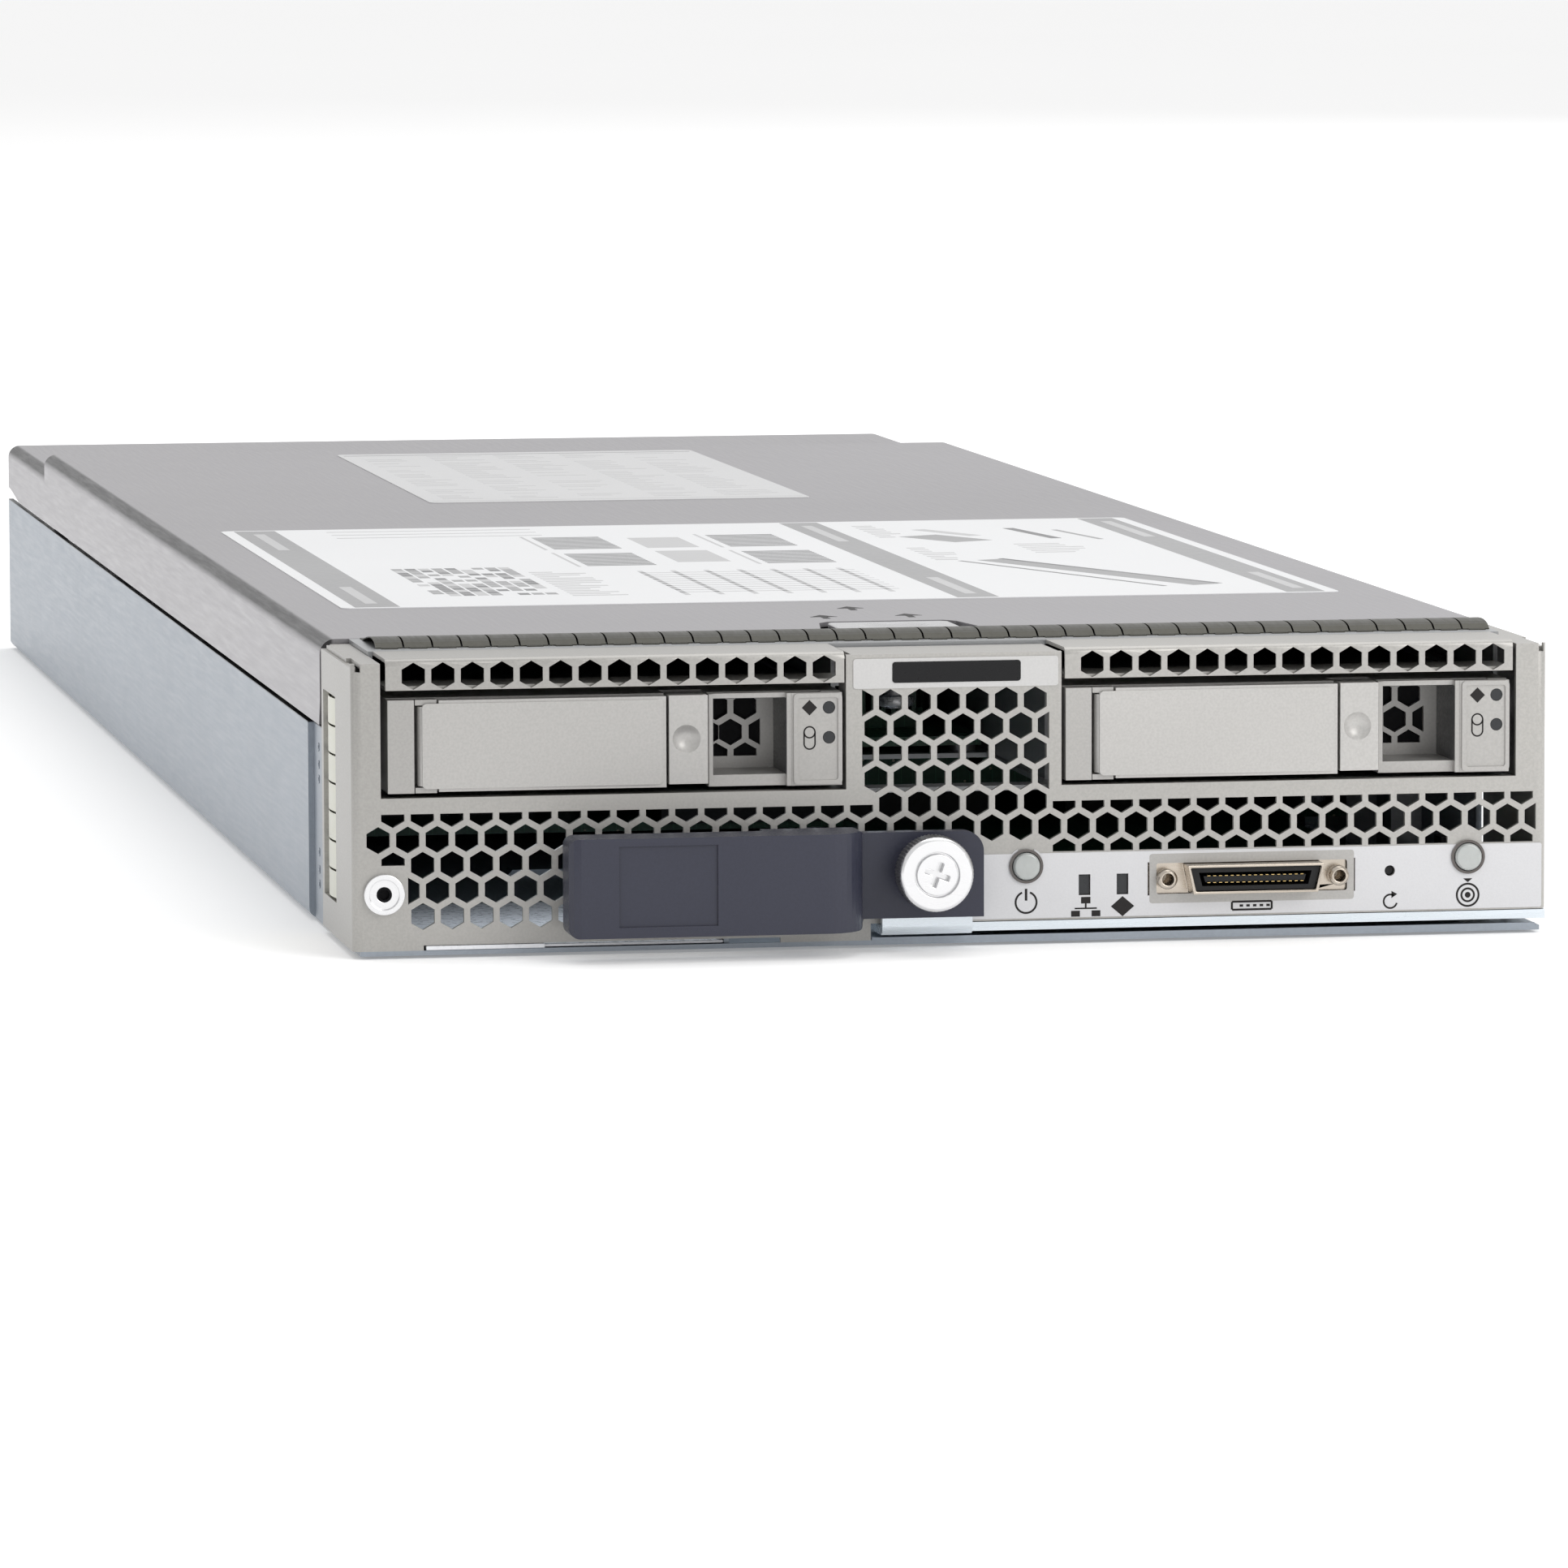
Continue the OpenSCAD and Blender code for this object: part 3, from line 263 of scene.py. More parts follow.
def make_materials():
    M = MATS
    M["tray_sheet"] = tray_finish_and_edge_shadow("tray_sheet", (0.33, 0.365, 0.41))
    M["cage_sheet"] = sheet("cage_sheet", (0.42, 0.43, 0.44), 0.36, 0.75, "X", spangle=0.03)
    M["cover_sheet"] = cover_finish_and_bend_shade("cover_sheet", (0.37, 0.36, 0.375))
    M["latch_metal"] = sheet("latch_metal", (0.62, 0.62, 0.63), 0.28, 0.8, "X")
    M["front_sheet"] = plain("front_sheet", (0.43, 0.42, 0.40), 0.38, 0.45, vary=0.10, grain=2600, bumpk=0.30)
    M["overlay_film"] = plain("overlay_film", (0.62, 0.62, 0.635), 0.40, 0.2, vary=0.04, grain=3200, bumpk=0.15)
    M["strip_film"] = plain("strip_film", (0.56, 0.555, 0.55), 0.40, 0.25, vary=0.05, grain=2600, bumpk=0.2)
    M["dark_inlay"] = plain("dark_inlay", (0.007, 0.007, 0.008), 0.32, 0.0, vary=0.1, bumpk=0.02, spec=0.25)
    M["bright_steel"] = sheet("bright_steel", (0.80, 0.80, 0.81), 0.22, 0.9, "X", streak=0.06)
    # knurl_dark is painted shade: the knob's knurled side is made dark grey to stand in for the shadow on it
    M["knurl_dark"] = sheet("knurl_dark", (0.20, 0.20, 0.21), 0.34, 0.8, "Y", streak=0.10)
    M["gasket_dark"] = sheet("gasket_dark", (0.060, 0.058, 0.047), 0.40, 0.6, "Y", vary=0.2)
    M["gasket_light"] = sheet("gasket_light", (0.62, 0.62, 0.54), 0.34, 0.5, "Y", vary=0.08)
    M["zinc_steel"] = sheet("zinc_steel", (0.74, 0.80, 0.85), 0.26, 0.75, "X")
    M["grip_plastic"] = plain("grip_plastic", (0.034, 0.036, 0.056), 0.36, 0.0, vary=0.08, grain=2200, bumpk=0.30, spec=0.38)
    M["black_plastic"] = plain("black_plastic", (0.010, 0.010, 0.011), 0.42, 0.0, vary=0.15, bumpk=0.2, spec=0.3)
    M["button_plastic"] = plain("button_plastic", (0.42, 0.44, 0.43), 0.12, 0.0, vary=0.05, bumpk=0.05, coat=0.8, spec=0.6)
    M["button_rim"] = plain("button_rim", (0.055, 0.042, 0.036), 0.16, 0.0, vary=0.10, bumpk=0.05, coat=0.8, spec=0.6)
    M["lens_plastic"] = plain("lens_plastic", (0.022, 0.024, 0.027), 0.22, 0.0, vary=0.08, bumpk=0.1, spec=0.4)
    M["nickel"] = sheet("nickel", (0.56, 0.50, 0.43), 0.24, 0.95, "X", streak=0.05)
    M["tag_plastic"] = plain("tag_plastic", (0.82, 0.83, 0.86), 0.30, 0.0, vary=0.02, bumpk=0.05)
    M["carrier_mould"] = plain("carrier_mould", (0.43, 0.42, 0.405), 0.40, 0.4, vary=0.09, grain=2400, bumpk=0.3)
    M["lever_mould"] = plain("lever_mould", (0.50, 0.49, 0.475), 0.40, 0.4, vary=0.09, grain=2400, bumpk=0.32)
    M["drive_case"] = sheet("drive_case", (0.45, 0.45, 0.47), 0.34, 0.85, "X")
    M["heatsink_metal"] = sheet("heatsink_metal", (0.62, 0.63, 0.65), 0.34, 0.9, "Y")
    M["die_cast"] = plain("die_cast", (0.42, 0.42, 0.43), 0.45, 0.8, vary=0.1, grain=1500, bumpk=0.4)
    M["spring_steel"] = sheet("spring_steel", (0.45, 0.46, 0.48), 0.28, 0.9, "X")
    M["label_paper"] = plain("label_paper", (0.74, 0.745, 0.755), 0.40, 0.0, vary=0.02, grain=3000, bumpk=0.08)
    M["label_grey"] = plain("label_grey", (0.56, 0.56, 0.565), 0.40, 0.0, vary=0.03, grain=3000, bumpk=0.08)
    M["ink_grey"] = plain("ink_grey", (0.20, 0.20, 0.205), 0.5, 0.0, vary=0.08, bumpk=0.05)
    M["ink_mid"] = plain("ink_mid", (0.33, 0.33, 0.335), 0.5, 0.0, vary=0.06, bumpk=0.05)
    M["ink_light"] = plain("ink_light", (0.50, 0.50, 0.505), 0.5, 0.0, vary=0.05, bumpk=0.05)
    M["ink_dark"] = plain("ink_dark", (0.020, 0.018, 0.018), 0.5, 0.0, vary=0.08, bumpk=0.05, spec=0.2)
    # pocket_dark and void_dark paint shade: dark sheets inside the carrier pockets and a black liner in the blind bore
    M["pocket_dark"] = plain("pocket_dark", (0.060, 0.060, 0.064), 0.36, 0.3, vary=0.1, grain=2200, bumpk=0.3)
    M["void_dark"] = plain("void_dark", (0.006, 0.006, 0.007), 0.60, 0.0, vary=0.1, grain=2200, bumpk=0.1, spec=0.1)
    M["gold"] = sheet("gold", (0.80, 0.58, 0.25), 0.25, 1.0, "Y", streak=0.05)
    M["circuit_board"] = board("circuit_board")
    M["memory"] = memory("memory")


def board(name):
    """Solder mask with faint traces, pads and vias."""
    m, nt, b = _new(name)
    v = coords(nt)
    br = N(nt, "ShaderNodeTexBrick")
    br.inputs["Scale"].default_value = 240.0
    br.inputs["Mortar Size"].default_value = 0.018
    br.inputs["Color1"].default_value = (0.010, 0.070, 0.035, 1)
    br.inputs["Color2"].default_value = (0.014, 0.085, 0.042, 1)
    br.inputs["Mortar"].default_value = (0.025, 0.13, 0.065, 1)
    nt.links.new(v, br.inputs["Vector"])
    vo = N(nt, "ShaderNodeTexVoronoi", feature="F1")
    vo.inputs["Scale"].default_value = 420.0
    nt.links.new(v, vo.inputs["Vector"])
    pads = ramp(nt, vo.outputs["Distance"], [(0.0, (1, 1, 1)), (0.10, (1, 1, 1)), (0.13, (0, 0, 0)), (1.0, (0, 0, 0))])
    n1 = noise(nt, v, 30, 3)
    base = mixc(nt, 1.0, br.outputs["Color"], ramp(nt, n1, [(0.3, (0.85,) * 3), (0.7, (1.1,) * 3)]), "MULTIPLY")
    nt.links.new(mixc(nt, pads, base, (0.42, 0.40, 0.30)), b.inputs["Base Color"])
    nt.links.new(maprange(nt, n1, 0.3, 0.7, 0.28, 0.42), b.inputs["Roughness"])
    bump(nt, b, pads, 0.3, 0.00005)
    return m


def memory(name):
    """Green module with black chips: the chips stand 0.7 to 1.7 mm off the module's middle plane."""
    m, nt, b = _new(name)
    v = coords(nt)
    sx = N(nt, "ShaderNodeSeparateXYZ")
    nt.links.new(v, sx.inputs[0])
    ax = math1(nt, "ABSOLUTE", sx.outputs[0])
    t = math1(nt, "SUBTRACT", ax, 0.0528 - 0.0039)
    f = math1(nt, "MODULO", t, 0.0078)
    d = math1(nt, "ABSOLUTE", math1(nt, "SUBTRACT", f, 0.0039))
    chip = math1(nt, "GREATER_THAN", d, 0.00078)
    n1 = noise(nt, v, 600, 2)
    green = ramp(nt, n1, [(0.3, (0.010, 0.075, 0.036)), (0.7, (0.016, 0.095, 0.045))])
    black = ramp(nt, n1, [(0.3, (0.012, 0.012, 0.013)), (0.7, (0.03, 0.03, 0.031))])
    nt.links.new(mixc(nt, chip, green, black), b.inputs["Base Color"])
    nt.links.new(maprange(nt, n1, 0.3, 0.7, 0.35, 0.5), b.inputs["Roughness"])
    bump(nt, b, n1, 0.15, 0.00003)
    return m


make_materials()
SLOT = {s["node"]: s["material_slot"] for s in frame["record"]["subparts"]}


def setmat(obj, mat):
    obj.data.materials.clear()
    obj.data.materials.append(mat)


for name, obj in NODES.items():
    setmat(obj, MATS[SLOT[name]])
setmat(NODES["memory_modules"], MATS["memory"])
for _n in ("drive_cage", "latch_bracket"):
    if _n in NODES:
        setmat(NODES[_n], MATS["cage_sheet"])


# --------------------------------------------------- edges of the carried parts
def soften(name, width, segs=2, angle=32, planar=True):
    o = NODES[name]
    w = o.modifiers.new("weld", "WELD")
    w.merge_threshold = 0.000001
    if planar:
        d = o.modifiers.new("planar", "DECIMATE")
        d.decimate_type = "DISSOLVE"
        d.angle_limit = math.radians(0.6)
    b = o.modifiers.new("bevel", "BEVEL")
    b.width = width / 1000.0
    b.segments = segs
    b.limit_method = "ANGLE"
    b.angle_limit = math.radians(angle)
    b.use_clamp_overlap = True
    b.harden_normals = False
    b.miter_outer = "MITER_ARC"


SOFT = {
    "ejector_handle": (0.7, 3), "ejector_lever": (0.25, 2), "cover_latch": (0.3, 2),
    "carrier_lever_left": (0.2, 2), "carrier_lever_right": (0.2, 2),
    "carrier_button_left": (0.3, 2), "carrier_button_right": (0.3, 2),
    "drive_left": (0.4, 2), "drive_right": (0.4, 2), "asset_tag": (0.1, 2), "console_shell": (0.2, 2),
    "thumbscrew": (0.15, 2), "panel_insert": (0.12, 2), "lever_pivot_pin": (0.2, 2), "console_jackposts": (0.12, 2),
    "power_button": (0.25, 3), "locator_button": (0.25, 3), "guide_sockets": (0.5, 2), "midplane_connectors": (0.3, 2),
    "status_light_pipes": (0.08, 2), "thumbscrew_washer": (0.1, 2), "thumbscrew_ferrule": (0.1, 2), "handle_screws": (0.2, 2),
}
for n, (w, s) in SOFT.items():
    soften(n, w, s)
# perforated and holed sheets keep their triangles: only their edges are rounded
for n, w in (("front_panel", 0.16), ("vent_strip_left", 0.16), ("vent_strip_right", 0.16), ("carrier_left", 0.16), ("carrier_right", 0.16)):
    soften(n, w, 2, 32, planar=False)


# ------------------------------------------------------------------ mesh tools
def mesh_obj(name, bm, mats, body, smooth=None):
    me = bpy.data.meshes.new(name)
    bmesh.ops.recalc_face_normals(bm, faces=bm.faces[:])
    bm.to_mesh(me)
    bm.free()
    o = bpy.data.objects.new(name, me)
    bpy.context.scene.collection.objects.link(o)
    for m in mats:
        me.materials.append(m)
    if smooth is not None:
        for p in me.polygons:
            p.use_smooth = True
        bpy.context.view_layer.objects.active = o
        for x in bpy.context.selected_objects:
            x.select_set(False)
        o.select_set(True)
        bpy.ops.object.shade_smooth_by_angle(angle=math.radians(smooth))
        o.select_set(False)
    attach(o, body)
    return o


def prism(bm, pts, a, b, plane, mi=0):
    """Closed prism: 2-D points in a plane, from a to b along its normal. plane 'xy' (z), 'xz' (y), 'yz' (x)."""
    def V(u, v, w):
        return P(u, v, w) if plane == "xy" else P(u, w, v) if plane == "xz" else P(w, u, v)
    lo = [bm.verts.new(V(u, v, a)) for u, v in pts]
    hi = [bm.verts.new(V(u, v, b)) for u, v in pts]
    n = len(pts)
    fs = [bm.faces.new(lo[::-1]), bm.faces.new(hi)]
    for i in range(n):
        fs.append(bm.faces.new((lo[i], lo[(i + 1) % n], hi[(i + 1) % n], hi[i])))
    for f in fs:
        f.material_index = mi
    return fs


def ring(bm, ctr, ro, ri, a, b, plane, n=40, mi=0, start=0.0, sweep=360.0):
    """Annulus, or a part of one, as a closed solid."""
    full = sweep >= 359.9
    k = n if full else max(4, int(n * sweep / 360.0))
    ang = [math.radians(start + sweep * i / k) for i in range(k if full else k + 1)]
    def V(r, t, w):
        u, v = ctr[0] + r * math.cos(t), ctr[1] + r * math.sin(t)
        return P(u, v, w) if plane == "xy" else P(u, w, v) if plane == "xz" else P(w, u, v)
    rows = [[bm.verts.new(V(r, t, w)) for t in ang] for r, w in ((ro, a), (ro, b), (ri, b), (ri, a))]
    m = len(ang)
    for q in range(4):
        A, B = rows[q], rows[(q + 1) % 4]
        for i in range(m if full else m - 1):
            f = bm.faces.new((A[i], A[(i + 1) % m], B[(i + 1) % m], B[i]))
            f.material_index = mi
    if not full:
        for i in (0, m - 1):
            f = bm.faces.new([rows[q][i] for q in range(4)])
            f.material_index = mi


def bar(x0, y0, x1, y1):
    return [(x0, y0), (x1, y0), (x1, y1), (x0, y1)]


def rrect(x0, y0, x1, y1, r, n=5):
    pts = []
    for cx, cy, a0 in ((x1 - r, y0 + r, -90), (x1 - r, y1 - r, 0), (x0 + r, y1 - r, 90), (x0 + r, y0 + r, 180)):
        for i in range(n + 1):
            t = math.radians(a0 + 90.0 * i / n)
            pts.append((cx + r * math.cos(t), cy + r * math.sin(t)))
    return pts


def disc(cx, cy, r, n=24):
    return [(cx + r * math.cos(2 * math.pi * i / n), cy + r * math.sin(2 * math.pi * i / n)) for i in range(n)]


def seg(x0, y0, x1, y1, w):
    dx, dy = x1 - x0, y1 - y0
    l = math.hypot(dx, dy)
    nx, ny = -dy / l * w / 2, dx / l * w / 2
    return [(x0 + nx, y0 + ny), (x0 - nx, y0 - ny), (x1 - nx, y1 - ny), (x1 + nx, y1 + ny)]


# ------------------------------------------------------- knurled ring of the knob, dark grey as painted shade on its side
def knurl():
    bm = bmesh.new()
    sx, sz = -6.0, 13.2
    teeth, rings = 64, []
    prof = [(-14.42, 6.05, 0), (-14.38, 6.2, 1), (-14.1, 6.36, 1), (-10.3, 6.36, 1), (-9.9, 6.15, 1), (-9.75, 5.9, 0)]
    for y, r, k in prof:
        row = []
        for i in range(teeth * 2):
            t = math.pi * i / teeth
            rr = r - (0.17 if (i % 2 and k) else 0.0)
            row.append(bm.verts.new(P(sx + rr * math.cos(t), y, sz + rr * math.sin(t))))
        rings.append(row)
    n = teeth * 2
    for a, b in zip(rings, rings[1:]):
        for i in range(n):
            bm.faces.new((a[i], a[(i + 1) % n], b[(i + 1) % n], b[i]))
    inner = []
    for y in (-14.42, -9.75):
        inner.append([bm.verts.new(P(sx + 5.6 * math.cos(math.pi * i / teeth), y, sz + 5.6 * math.sin(math.pi * i / teeth))) for i in range(n)])
    for A, B in ((rings[0], inner[0]), (inner[0], inner[1]), (inner[1], rings[-1])):
        for i in range(n):
            bm.faces.new((A[i], A[(i + 1) % n], B[(i + 1) % n], B[i]))
    mesh_obj("knob_knurl", bm, [MATS["knurl_dark"]], "screw", smooth=25)


knurl()


# ------------------------------------------------- coil spring behind the knob
def coil():
    bm = bmesh.new()
    sx, sz, rc, rw, turns, per, k = -6.0, 13.2, 3.0, 0.2, 3.0, 28, 8
    y0, y1 = -9.44, -7.10
    n = int(turns * per)
    rows = []
    for i in range(n + 1):
        t = 2 * math.pi * i / per
        y = y0 + (y1 - y0) * i / n
        row = []
        for j in range(k):
            a = 2 * math.pi * j / k
            r = rc + rw * math.cos(a)
            row.append(bm.verts.new(P(sx + r * math.cos(t), y + rw * math.sin(a), sz + r * math.sin(t))))
        rows.append(row)
    for A, B in zip(rows, rows[1:]):
        for j in range(k):
            bm.faces.new((A[j], A[(j + 1) % k], B[(j + 1) % k], B[j]))
    bm.faces.new(rows[0][::-1])
    bm.faces.new(rows[-1])
    o = mesh_obj("coil_spring", bm, [MATS["spring_steel"]], "ejector", smooth=50)
    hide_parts("thumbscrew_spring")
    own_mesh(o)


coil()


# ------------------------------------------------------------- labels on the cover
def label(name, node, outline, prints, paper="label_paper"):
    bm = bmesh.new()
    prism(bm, outline, TOP, TOP + 0.15, "xy", 0)
    for pr in prints:
        up = 0.018 if len(pr) > 2 else 0.0
        prism(bm, pr[0], TOP + 0.151 + up, TOP + 0.167 + up, "xy", pr[1])
    o = mesh_obj(name, bm, [MATS[paper], MATS["ink_grey"], MATS["ink_mid"], MATS["ink_light"], MATS["ink_dark"]], "cover")
    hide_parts(node)


def front_prints():
    pr = []
    G, Mi, L, D = 1, 2, 3, 4
    # three full-length bands
    for x0, x1 in ((-87.5, -79.5), (20.5, 28.0), (80.5, 87.5)):
        pr.append((bar(x0, 104.5, x1, 290.5), Mi))
        pr.append((bar(x0 + 2.8, 240, x0 + 5.0, 282), L, 1))
        pr.append((bar(x0 + 2.8, 112, x0 + 5.0, 150), L, 1))
    # memory-slot diagrams: groups of narrow ticks
    for gx, gy in ((-33, 232), (-33, 190), (1, 232), (1, 190)):
        for i in range(12):
            pr.append((bar(gx, gy + i * 2.6, gx + 13, gy + 1.5 + i * 2.6), G))
        pr.append((bar(gx - 2, gy - 1.5, gx - 1.4, gy + 33), L))
    pr.append((bar(-15, 196, -5, 224), L))
    pr.append((bar(-15, 232, -5, 258), L))
    # dense photo-like block made of blocks of three greys
    rnd = random.Random(3)
    for i in range(9):
        for j in range(14):
            q = rnd.random()
            if q > 0.28:
                pr.append((bar(-70 + i * 2.5, 126 + j * 4.6, -68.0 + i * 2.5, 130.0 + j * 4.6), (L, Mi, G)[min(2, int(rnd.random() * 3))]))
    # outline tables
    for y in (268, 276, 284):
        pr.append((bar(-70, y, -30, y + 1.2), L))
    for i in range(7):
        pr.append((bar(-26 + i * 6.2, 120, -25.0 + i * 6.2, 176), L))
    for i in range(10):
        pr.append((bar(-26, 126 + i * 5, 14, 126.8 + i * 5), L))
    for i in range(16):
        w = 4 + 7 * rnd.random()
        pr.append((bar(-46, 122 + i * 3.6, -46 + w, 123.4 + i * 3.6), L))
    # right third: small exploded views
    pr.append((seg(43, 190, 70, 124, 5.5), Mi))
    pr.append((seg(45.5, 192, 73, 126, 1.2), G))
    pr.append((seg(37, 188, 62, 122, 1.0), G))
    pr.append((seg(41, 252, 49, 236, 9), Mi))
    pr.append((seg(44, 268, 52, 250, 3.0), L))
    pr.append((seg(62, 268, 66, 240, 2.2), G))
    pr.append((seg(70, 262, 74, 236, 1.2), Mi))
    for i in range(8):
        pr.append((bar(33, 278 - i * 4.2, 33 + 3 + 3.5 * rnd.random(), 279.6 - i * 4.2), L))
    for i in range(8):
        pr.append((bar(33, 220 - i * 4.2, 33 + 3 + 4 * rnd.random(), 221.6 - i * 4.2), L))
    for i in range(6):
        pr.append((bar(55, 226 - i * 4.2, 55 + 6 + 9 * rnd.random(), 227.4 - i * 4.2), L))
    return pr


def rear_prints():
    pr = []
    rnd = random.Random(9)
    for c in range(5):
        x0 = -35 + c * 14.6
        y = 372
        while y < 505:
            l = 5 + 7 * rnd.random()
            if rnd.random() > 0.18:
                pr.append((bar(x0, y, x0 + l, y + 1.5), 3))
            y += 4.4
    pr.append((bar(-38, 366, 38.5, 367), 3))
    pr.append((bar(-38, 509, 38.5, 510.4), 2))
    return pr


label("label_front", "service_label_front", rrect(-90, 103, 90, 292, 2), front_prints())
label("label_rear", "service_label_rear", rrect(-39, 362, 39.5, 515, 2), rear_prints(), "label_grey")


# --------------------------------------------------------------- front-panel icons
def icons():
    bm = bmesh.new()
    a, b = -0.235, -0.202
    # power symbol: ring with a gap and a stroke
    ring(bm, (11.9, 6.6), 1.95, 1.62, a, b, "xz", 40, 0, start=112, sweep=316)
    prism(bm, seg(11.9, 6.9, 11.9, 8.9, 0.42), a, b, "xz")
    # link icon: three joined squares
    prism(bm, bar(21.3, 6.2, 22.9, 7.3), a, b, "xz")
    prism(bm, bar(19.6, 4.0, 21.1, 5.0), a, b, "xz")
    prism(bm, bar(23.1, 4.0, 24.6, 5.0), a, b, "xz")
    prism(bm, bar(21.95, 5.5, 22.25, 6.2), a, b, "xz")
    prism(bm, bar(20.2, 5.25, 24.0, 5.5), a, b, "xz")
    # status icon: a plain diamond with a dot
    prism(bm, [(28.4, 3.9), (30.4, 5.6), (28.4, 7.3), (26.4, 5.6)], a, b, "xz")
    # locator icon: rings with a stem
    ring(bm, (87.9, 6.2), 2.05, 1.72, a, b, "xz", 40)
    ring(bm, (87.9, 6.2), 1.25, 0.92, a, b, "xz", 32)
    prism(bm, disc(87.9, 6.2, 0.5, 16), a, b, "xz")
    prism(bm, [(87.1, 9.0), (88.7, 9.0), (87.9, 8.35)], a, b, "xz")
    # port icon: a plug outline under the console port
    prism(bm, rrect(47.2, 4.4, 54.0, 4.75, 0.1), a, b, "xz")
    prism(bm, rrect(47.2, 5.75, 54.0, 6.1, 0.1), a, b, "xz")
    prism(bm, bar(47.0, 4.6, 47.35, 5.9), a, b, "xz")
    prism(bm, bar(53.85, 4.6, 54.2, 5.9), a, b, "xz")
    for i in range(5):
        prism(bm, bar(48.5 + i * 1.15, 5.05, 49.1 + i * 1.15, 5.45), a, b, "xz")
    # reset icon: a three-quarter arrow
    ring(bm, (74.5, 5.4), 1.3, 1.0, a, b, "xz", 32, 0, start=60, sweep=285)
    prism(bm, [(74.7, 7.15), (74.7, 5.95), (75.7, 6.6)], a, b, "xz")
    mesh_obj("panel_icons", bm, [MATS["ink_dark"]], "chassis")
    # drive icons, one piece per carrier
    for side, dx in (("left", 0.0), ("right", 114.3)):
        bm = bmesh.new()
        a2, b2 = -0.03, -0.001
        x = -24.8 + dx
        prism(bm, [(x, 38.7), (x + 1.3, 40.0), (x, 41.3), (x - 1.3, 40.0)], a2, b2, "xz")
        ring(bm, (x, 35.9), 1.05, 0.8, a2, b2, "xz", 28)
        prism(bm, bar(x - 1.05, 33.9, x - 0.8, 35.9), a2, b2, "xz")
        prism(bm, bar(x + 0.8, 33.9, x + 1.05, 35.9), a2, b2, "xz")
        ring(bm, (x, 34.0), 1.05, 0.8, a2, b2, "xz", 28, 0, start=180, sweep=180)
        mesh_obj("drive_icons_" + side, bm, [MATS["ink_dark"]], "carrier_%s_body" % side)


icons()


# --------------------------------------------------------- rings round the buttons
def collars():
    bm = bmesh.new()
    for x in (11.9, 87.9):
        ring(bm, (x, 12.7), 2.88, 2.45, -0.6, 0.4, "xz", 40)
    mesh_obj("button_collars", bm, [MATS["button_rim"]], "chassis", smooth=40)
    bm = bmesh.new()
    pts = rrect(33.0, 5.95, 68.2, 14.3, 0.5)
    # recess plate round the console port, with a hole for the port and its posts
    hole = rrect(34.2, 7.5, 67.0, 12.7, 0.4)
    n = len(pts)
    for y in (-0.215, -0.203):
        o = [bm.verts.new(P(u, y, v)) for u, v in pts]
        h = [bm.verts.new(P(u, y, v)) for u, v in hole]
        if y < -0.21:
            front = (o, h)
        else:
            back = (o, h)
        for i in range(n):
            bm.faces.new((o[i], o[(i + 1) % n], h[(i + 1) % n], h[i]))
    for a, b in ((front[0], back[0]), (front[1], back[1])):
        for i in range(n):
            bm.faces.new((a[i], a[(i + 1) % n], b[(i + 1) % n], b[i]))
    mesh_obj("console_surround", bm, [MATS["carrier_mould"]], "chassis")


collars()


# ------------------------------------------------------------- marks near the latch
def marks():
    bm = bmesh.new()
    z0, z1 = TOP + 0.003, TOP + 0.03
    for x, y in ((-10, 71), (5, 71)):
        prism(bm, [(x - 2.4, y - 1.6), (x + 2.4, y - 1.6), (x, y + 2.4)], z0, z1, "xy")
        prism(bm, bar(x - 0.6, y - 5.2, x + 0.6, y - 1.6), z0, z1, "xy")
    prism(bm, [(-4.6, 86.4), (0.2, 86.4), (-2.2, 90.4)], z0, z1, "xy")
    prism(bm, bar(-2.8, 82.6, -1.6, 86.4), z0, z1, "xy")
    mesh_obj("cover_marks", bm, [MATS["ink_dark"]], "cover")


marks()


# ------------------------------------------------------------ dark sheets painting the shade inside the pockets
def pockets():
    for side, dx in (("left", 0.0), ("right", 114.3)):
        bm = bmesh.new()
        x0, x1 = -40.88 + dx, -28.62 + dx
        # thin dark sheet on the two side walls and the roof: painted shade
        prism(bm, bar(x0, 1.3, x0 + 0.06, 13.1), 28.95, 41.6, "xy")
        prism(bm, bar(x1 - 0.06, 0.6, x1, 13.1), 28.95, 41.6, "xy")
        prism(bm, bar(x0 + 0.07, 1.7, x1 - 0.07, 13.1), 41.62, 41.68, "xy")
        # black plate behind the pocket's honeycomb wall: painted shade hiding the lit parts behind it
        prism(bm, rrect(x0 + 0.3, 28.0, x1 - 0.3, 41.4, 0.8), 14.35, 14.75, "xz", 1)
        mesh_obj("pocket_shade_sheet_" + side, bm, [MATS["pocket_dark"], MATS["void_dark"]], "carrier_%s_body" % side)


pockets()


def small_trim():
    # clinched dimples on the stepped front part of the left and right walls
    for side, sx in (("left", -1), ("right", 1)):
        bm = bmesh.new()
        for z in (6.5, 9.0, 12.0, 24.5, 27.0, 30.0):
            a, b = (-100.72, -100.58) if sx < 0 else (100.58, 100.72)
            prism(bm, disc(52.0, z, 0.75, 14), a, b, "yz")
            prism(bm, disc(52.0, z, 0.35, 10), a - 0.08 if sx < 0 else b + 0.001, a - 0.001 if sx < 0 else b + 0.08, "yz")
        mesh_obj("wall_clinches_" + side, bm, [MATS["tray_sheet"]], "chassis", smooth=30)
    # black liner and plug in the blind bore of the pressed-in boss: painted shade
    bm = bmesh.new()
    ring(bm, (-96.4, 10.3), 1.24, 0.9, -0.5, 5.0, "xz", 28)
    prism(bm, disc(-96.4, 10.3, 0.9, 28), 0.4, 0.8, "xz")
    mesh_obj("insert_bore_shade", bm, [MATS["void_dark"]], "chassis", smooth=40)


small_trim()


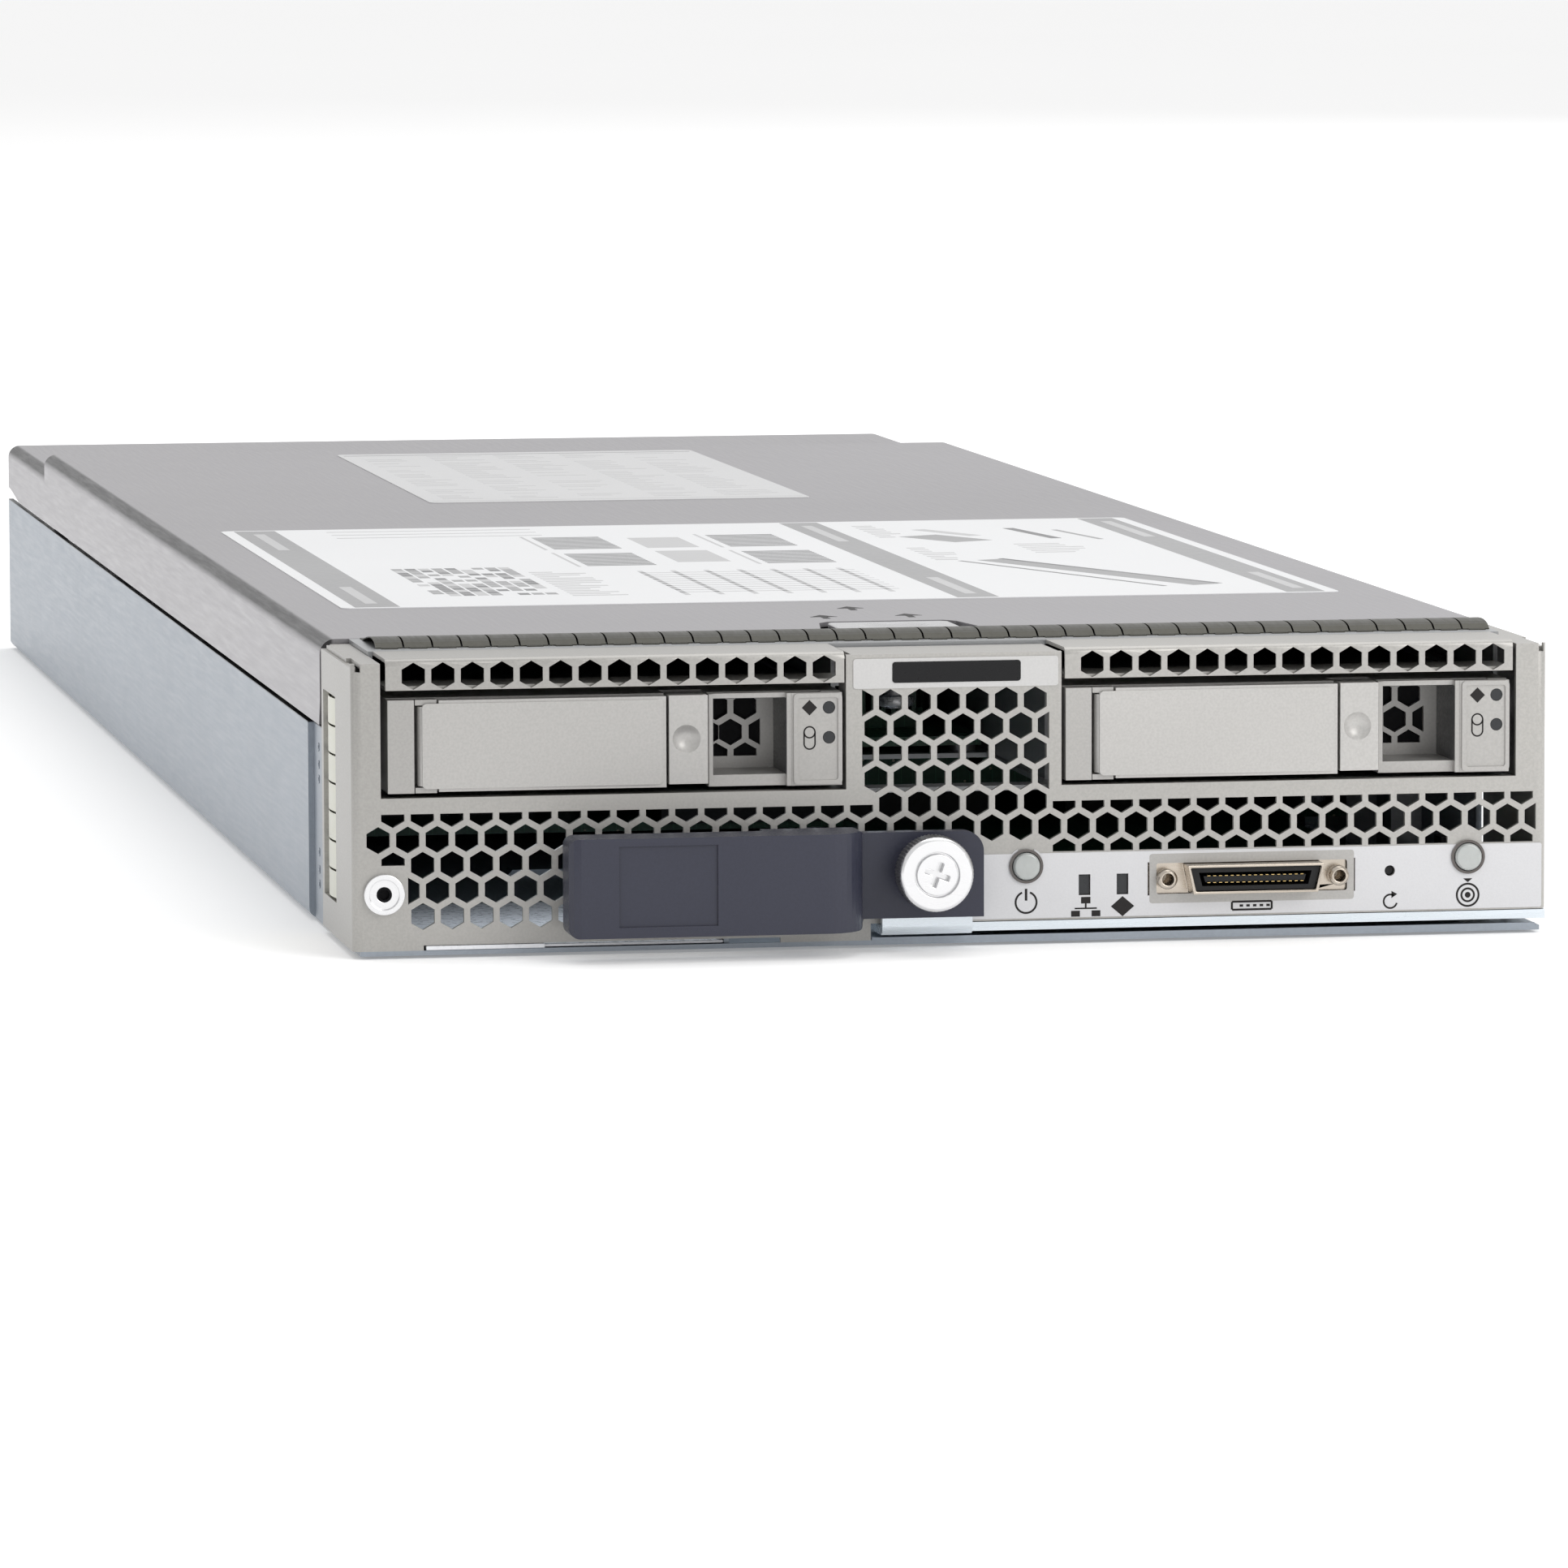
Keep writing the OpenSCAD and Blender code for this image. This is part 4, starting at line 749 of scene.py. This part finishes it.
# ----------------------------------------------------------------- console contacts
def pins():
    bm = bmesh.new()
    for i in range(17):
        x = 50.6 - 8.2 + i * 1.0
        for z in (9.48, 10.62):
            prism(bm, bar(x, z, x + 0.5, z + 0.1), -2.75, -1.0, "xz")
    mesh_obj("console_contacts", bm, [MATS["gold"]], "chassis")


pins()


# ------------------------------------------------------------------ floor and light
def stage():
    bm = bmesh.new()
    s = 14.0
    vs = [bm.verts.new((x, y, -0.0005)) for x, y in ((-s, -s), (s, -s), (s, s), (-s, s))]
    bm.faces.new(vs)
    me = bpy.data.meshes.new("floor")
    bm.to_mesh(me)
    bm.free()
    o = bpy.data.objects.new("floor", me)
    bpy.context.scene.collection.objects.link(o)
    fm = plain("floor_white", (0.92, 0.92, 0.92), 0.9, 0.0, vary=0.005, bumpk=0.0, big=1.0, spec=0.1)
    fb = [n for n in fm.node_tree.nodes if n.type == "BSDF_PRINCIPLED"][0]
    fb.inputs["Emission Color"].default_value = (1.0, 1.0, 1.0, 1.0)
    fb.inputs["Emission Strength"].default_value = 0.20
    me.materials.append(fm)


stage()


def area(name, loc, target, size, power, col=(1, 1, 1), size_y=None):
    l = bpy.data.lights.new(name, "AREA")
    l.shape = "RECTANGLE"
    l.size = size
    l.size_y = size_y or size
    l.energy = power
    l.color = col
    o = bpy.data.objects.new(name, l)
    bpy.context.scene.collection.objects.link(o)
    o.location = loc
    d = Vector(target) - Vector(loc)
    o.rotation_euler = d.to_track_quat("-Z", "Y").to_euler()
    return o


area("key", (0.75, -1.25, 0.75), (0, -0.2, 0.02), 0.8, 6.5, (1.0, 0.99, 0.975))
area("top_soft", (0.3, 0.3, 1.9), (0.05, 0.0, 0), 1.8, 15.0)
area("rear_right", (2.4, 3.0, 0.9), (0.05, 0.1, 0.03), 2.2, 30.0)
# bounce under the drive cage, where light comes in through the perforations
area("inner_bounce", (-0.045, (22.0 + Y0) / 1000.0, 0.0235), (-0.045, (24.0 + Y0) / 1000.0, 0.0), 0.085, 0.012, (0.86, 0.93, 1.0), 0.03)

w = bpy.data.worlds.new("studio")
bpy.context.scene.world = w
w.use_nodes = True
bg = w.node_tree.nodes["Background"]
bg.inputs["Color"].default_value = (1.0, 1.0, 1.0, 1.0)
bg.inputs["Strength"].default_value = 0.78
bpy.context.scene.view_settings.view_transform = "Standard"
bpy.context.scene.view_settings.look = "None"

# -------------------------------------------------------------------------- camera
cam = bpy.data.cameras.new("camera")
cam.lens = 218.6
cam.sensor_width = 36.0
cam.clip_start = 0.05
cam.clip_end = 60.0
co = bpy.data.objects.new("camera", cam)
bpy.context.scene.collection.objects.link(co)
R = Matrix(((0.98517, 0.02003, -0.1704), (-0.17155, 0.09772, -0.98032), (-0.00298, 0.99501, 0.0997)))
co.matrix_world = Matrix.Translation((-0.2993, -1.8552, 0.1854)) @ R.to_4x4()
bpy.context.scene.camera = co
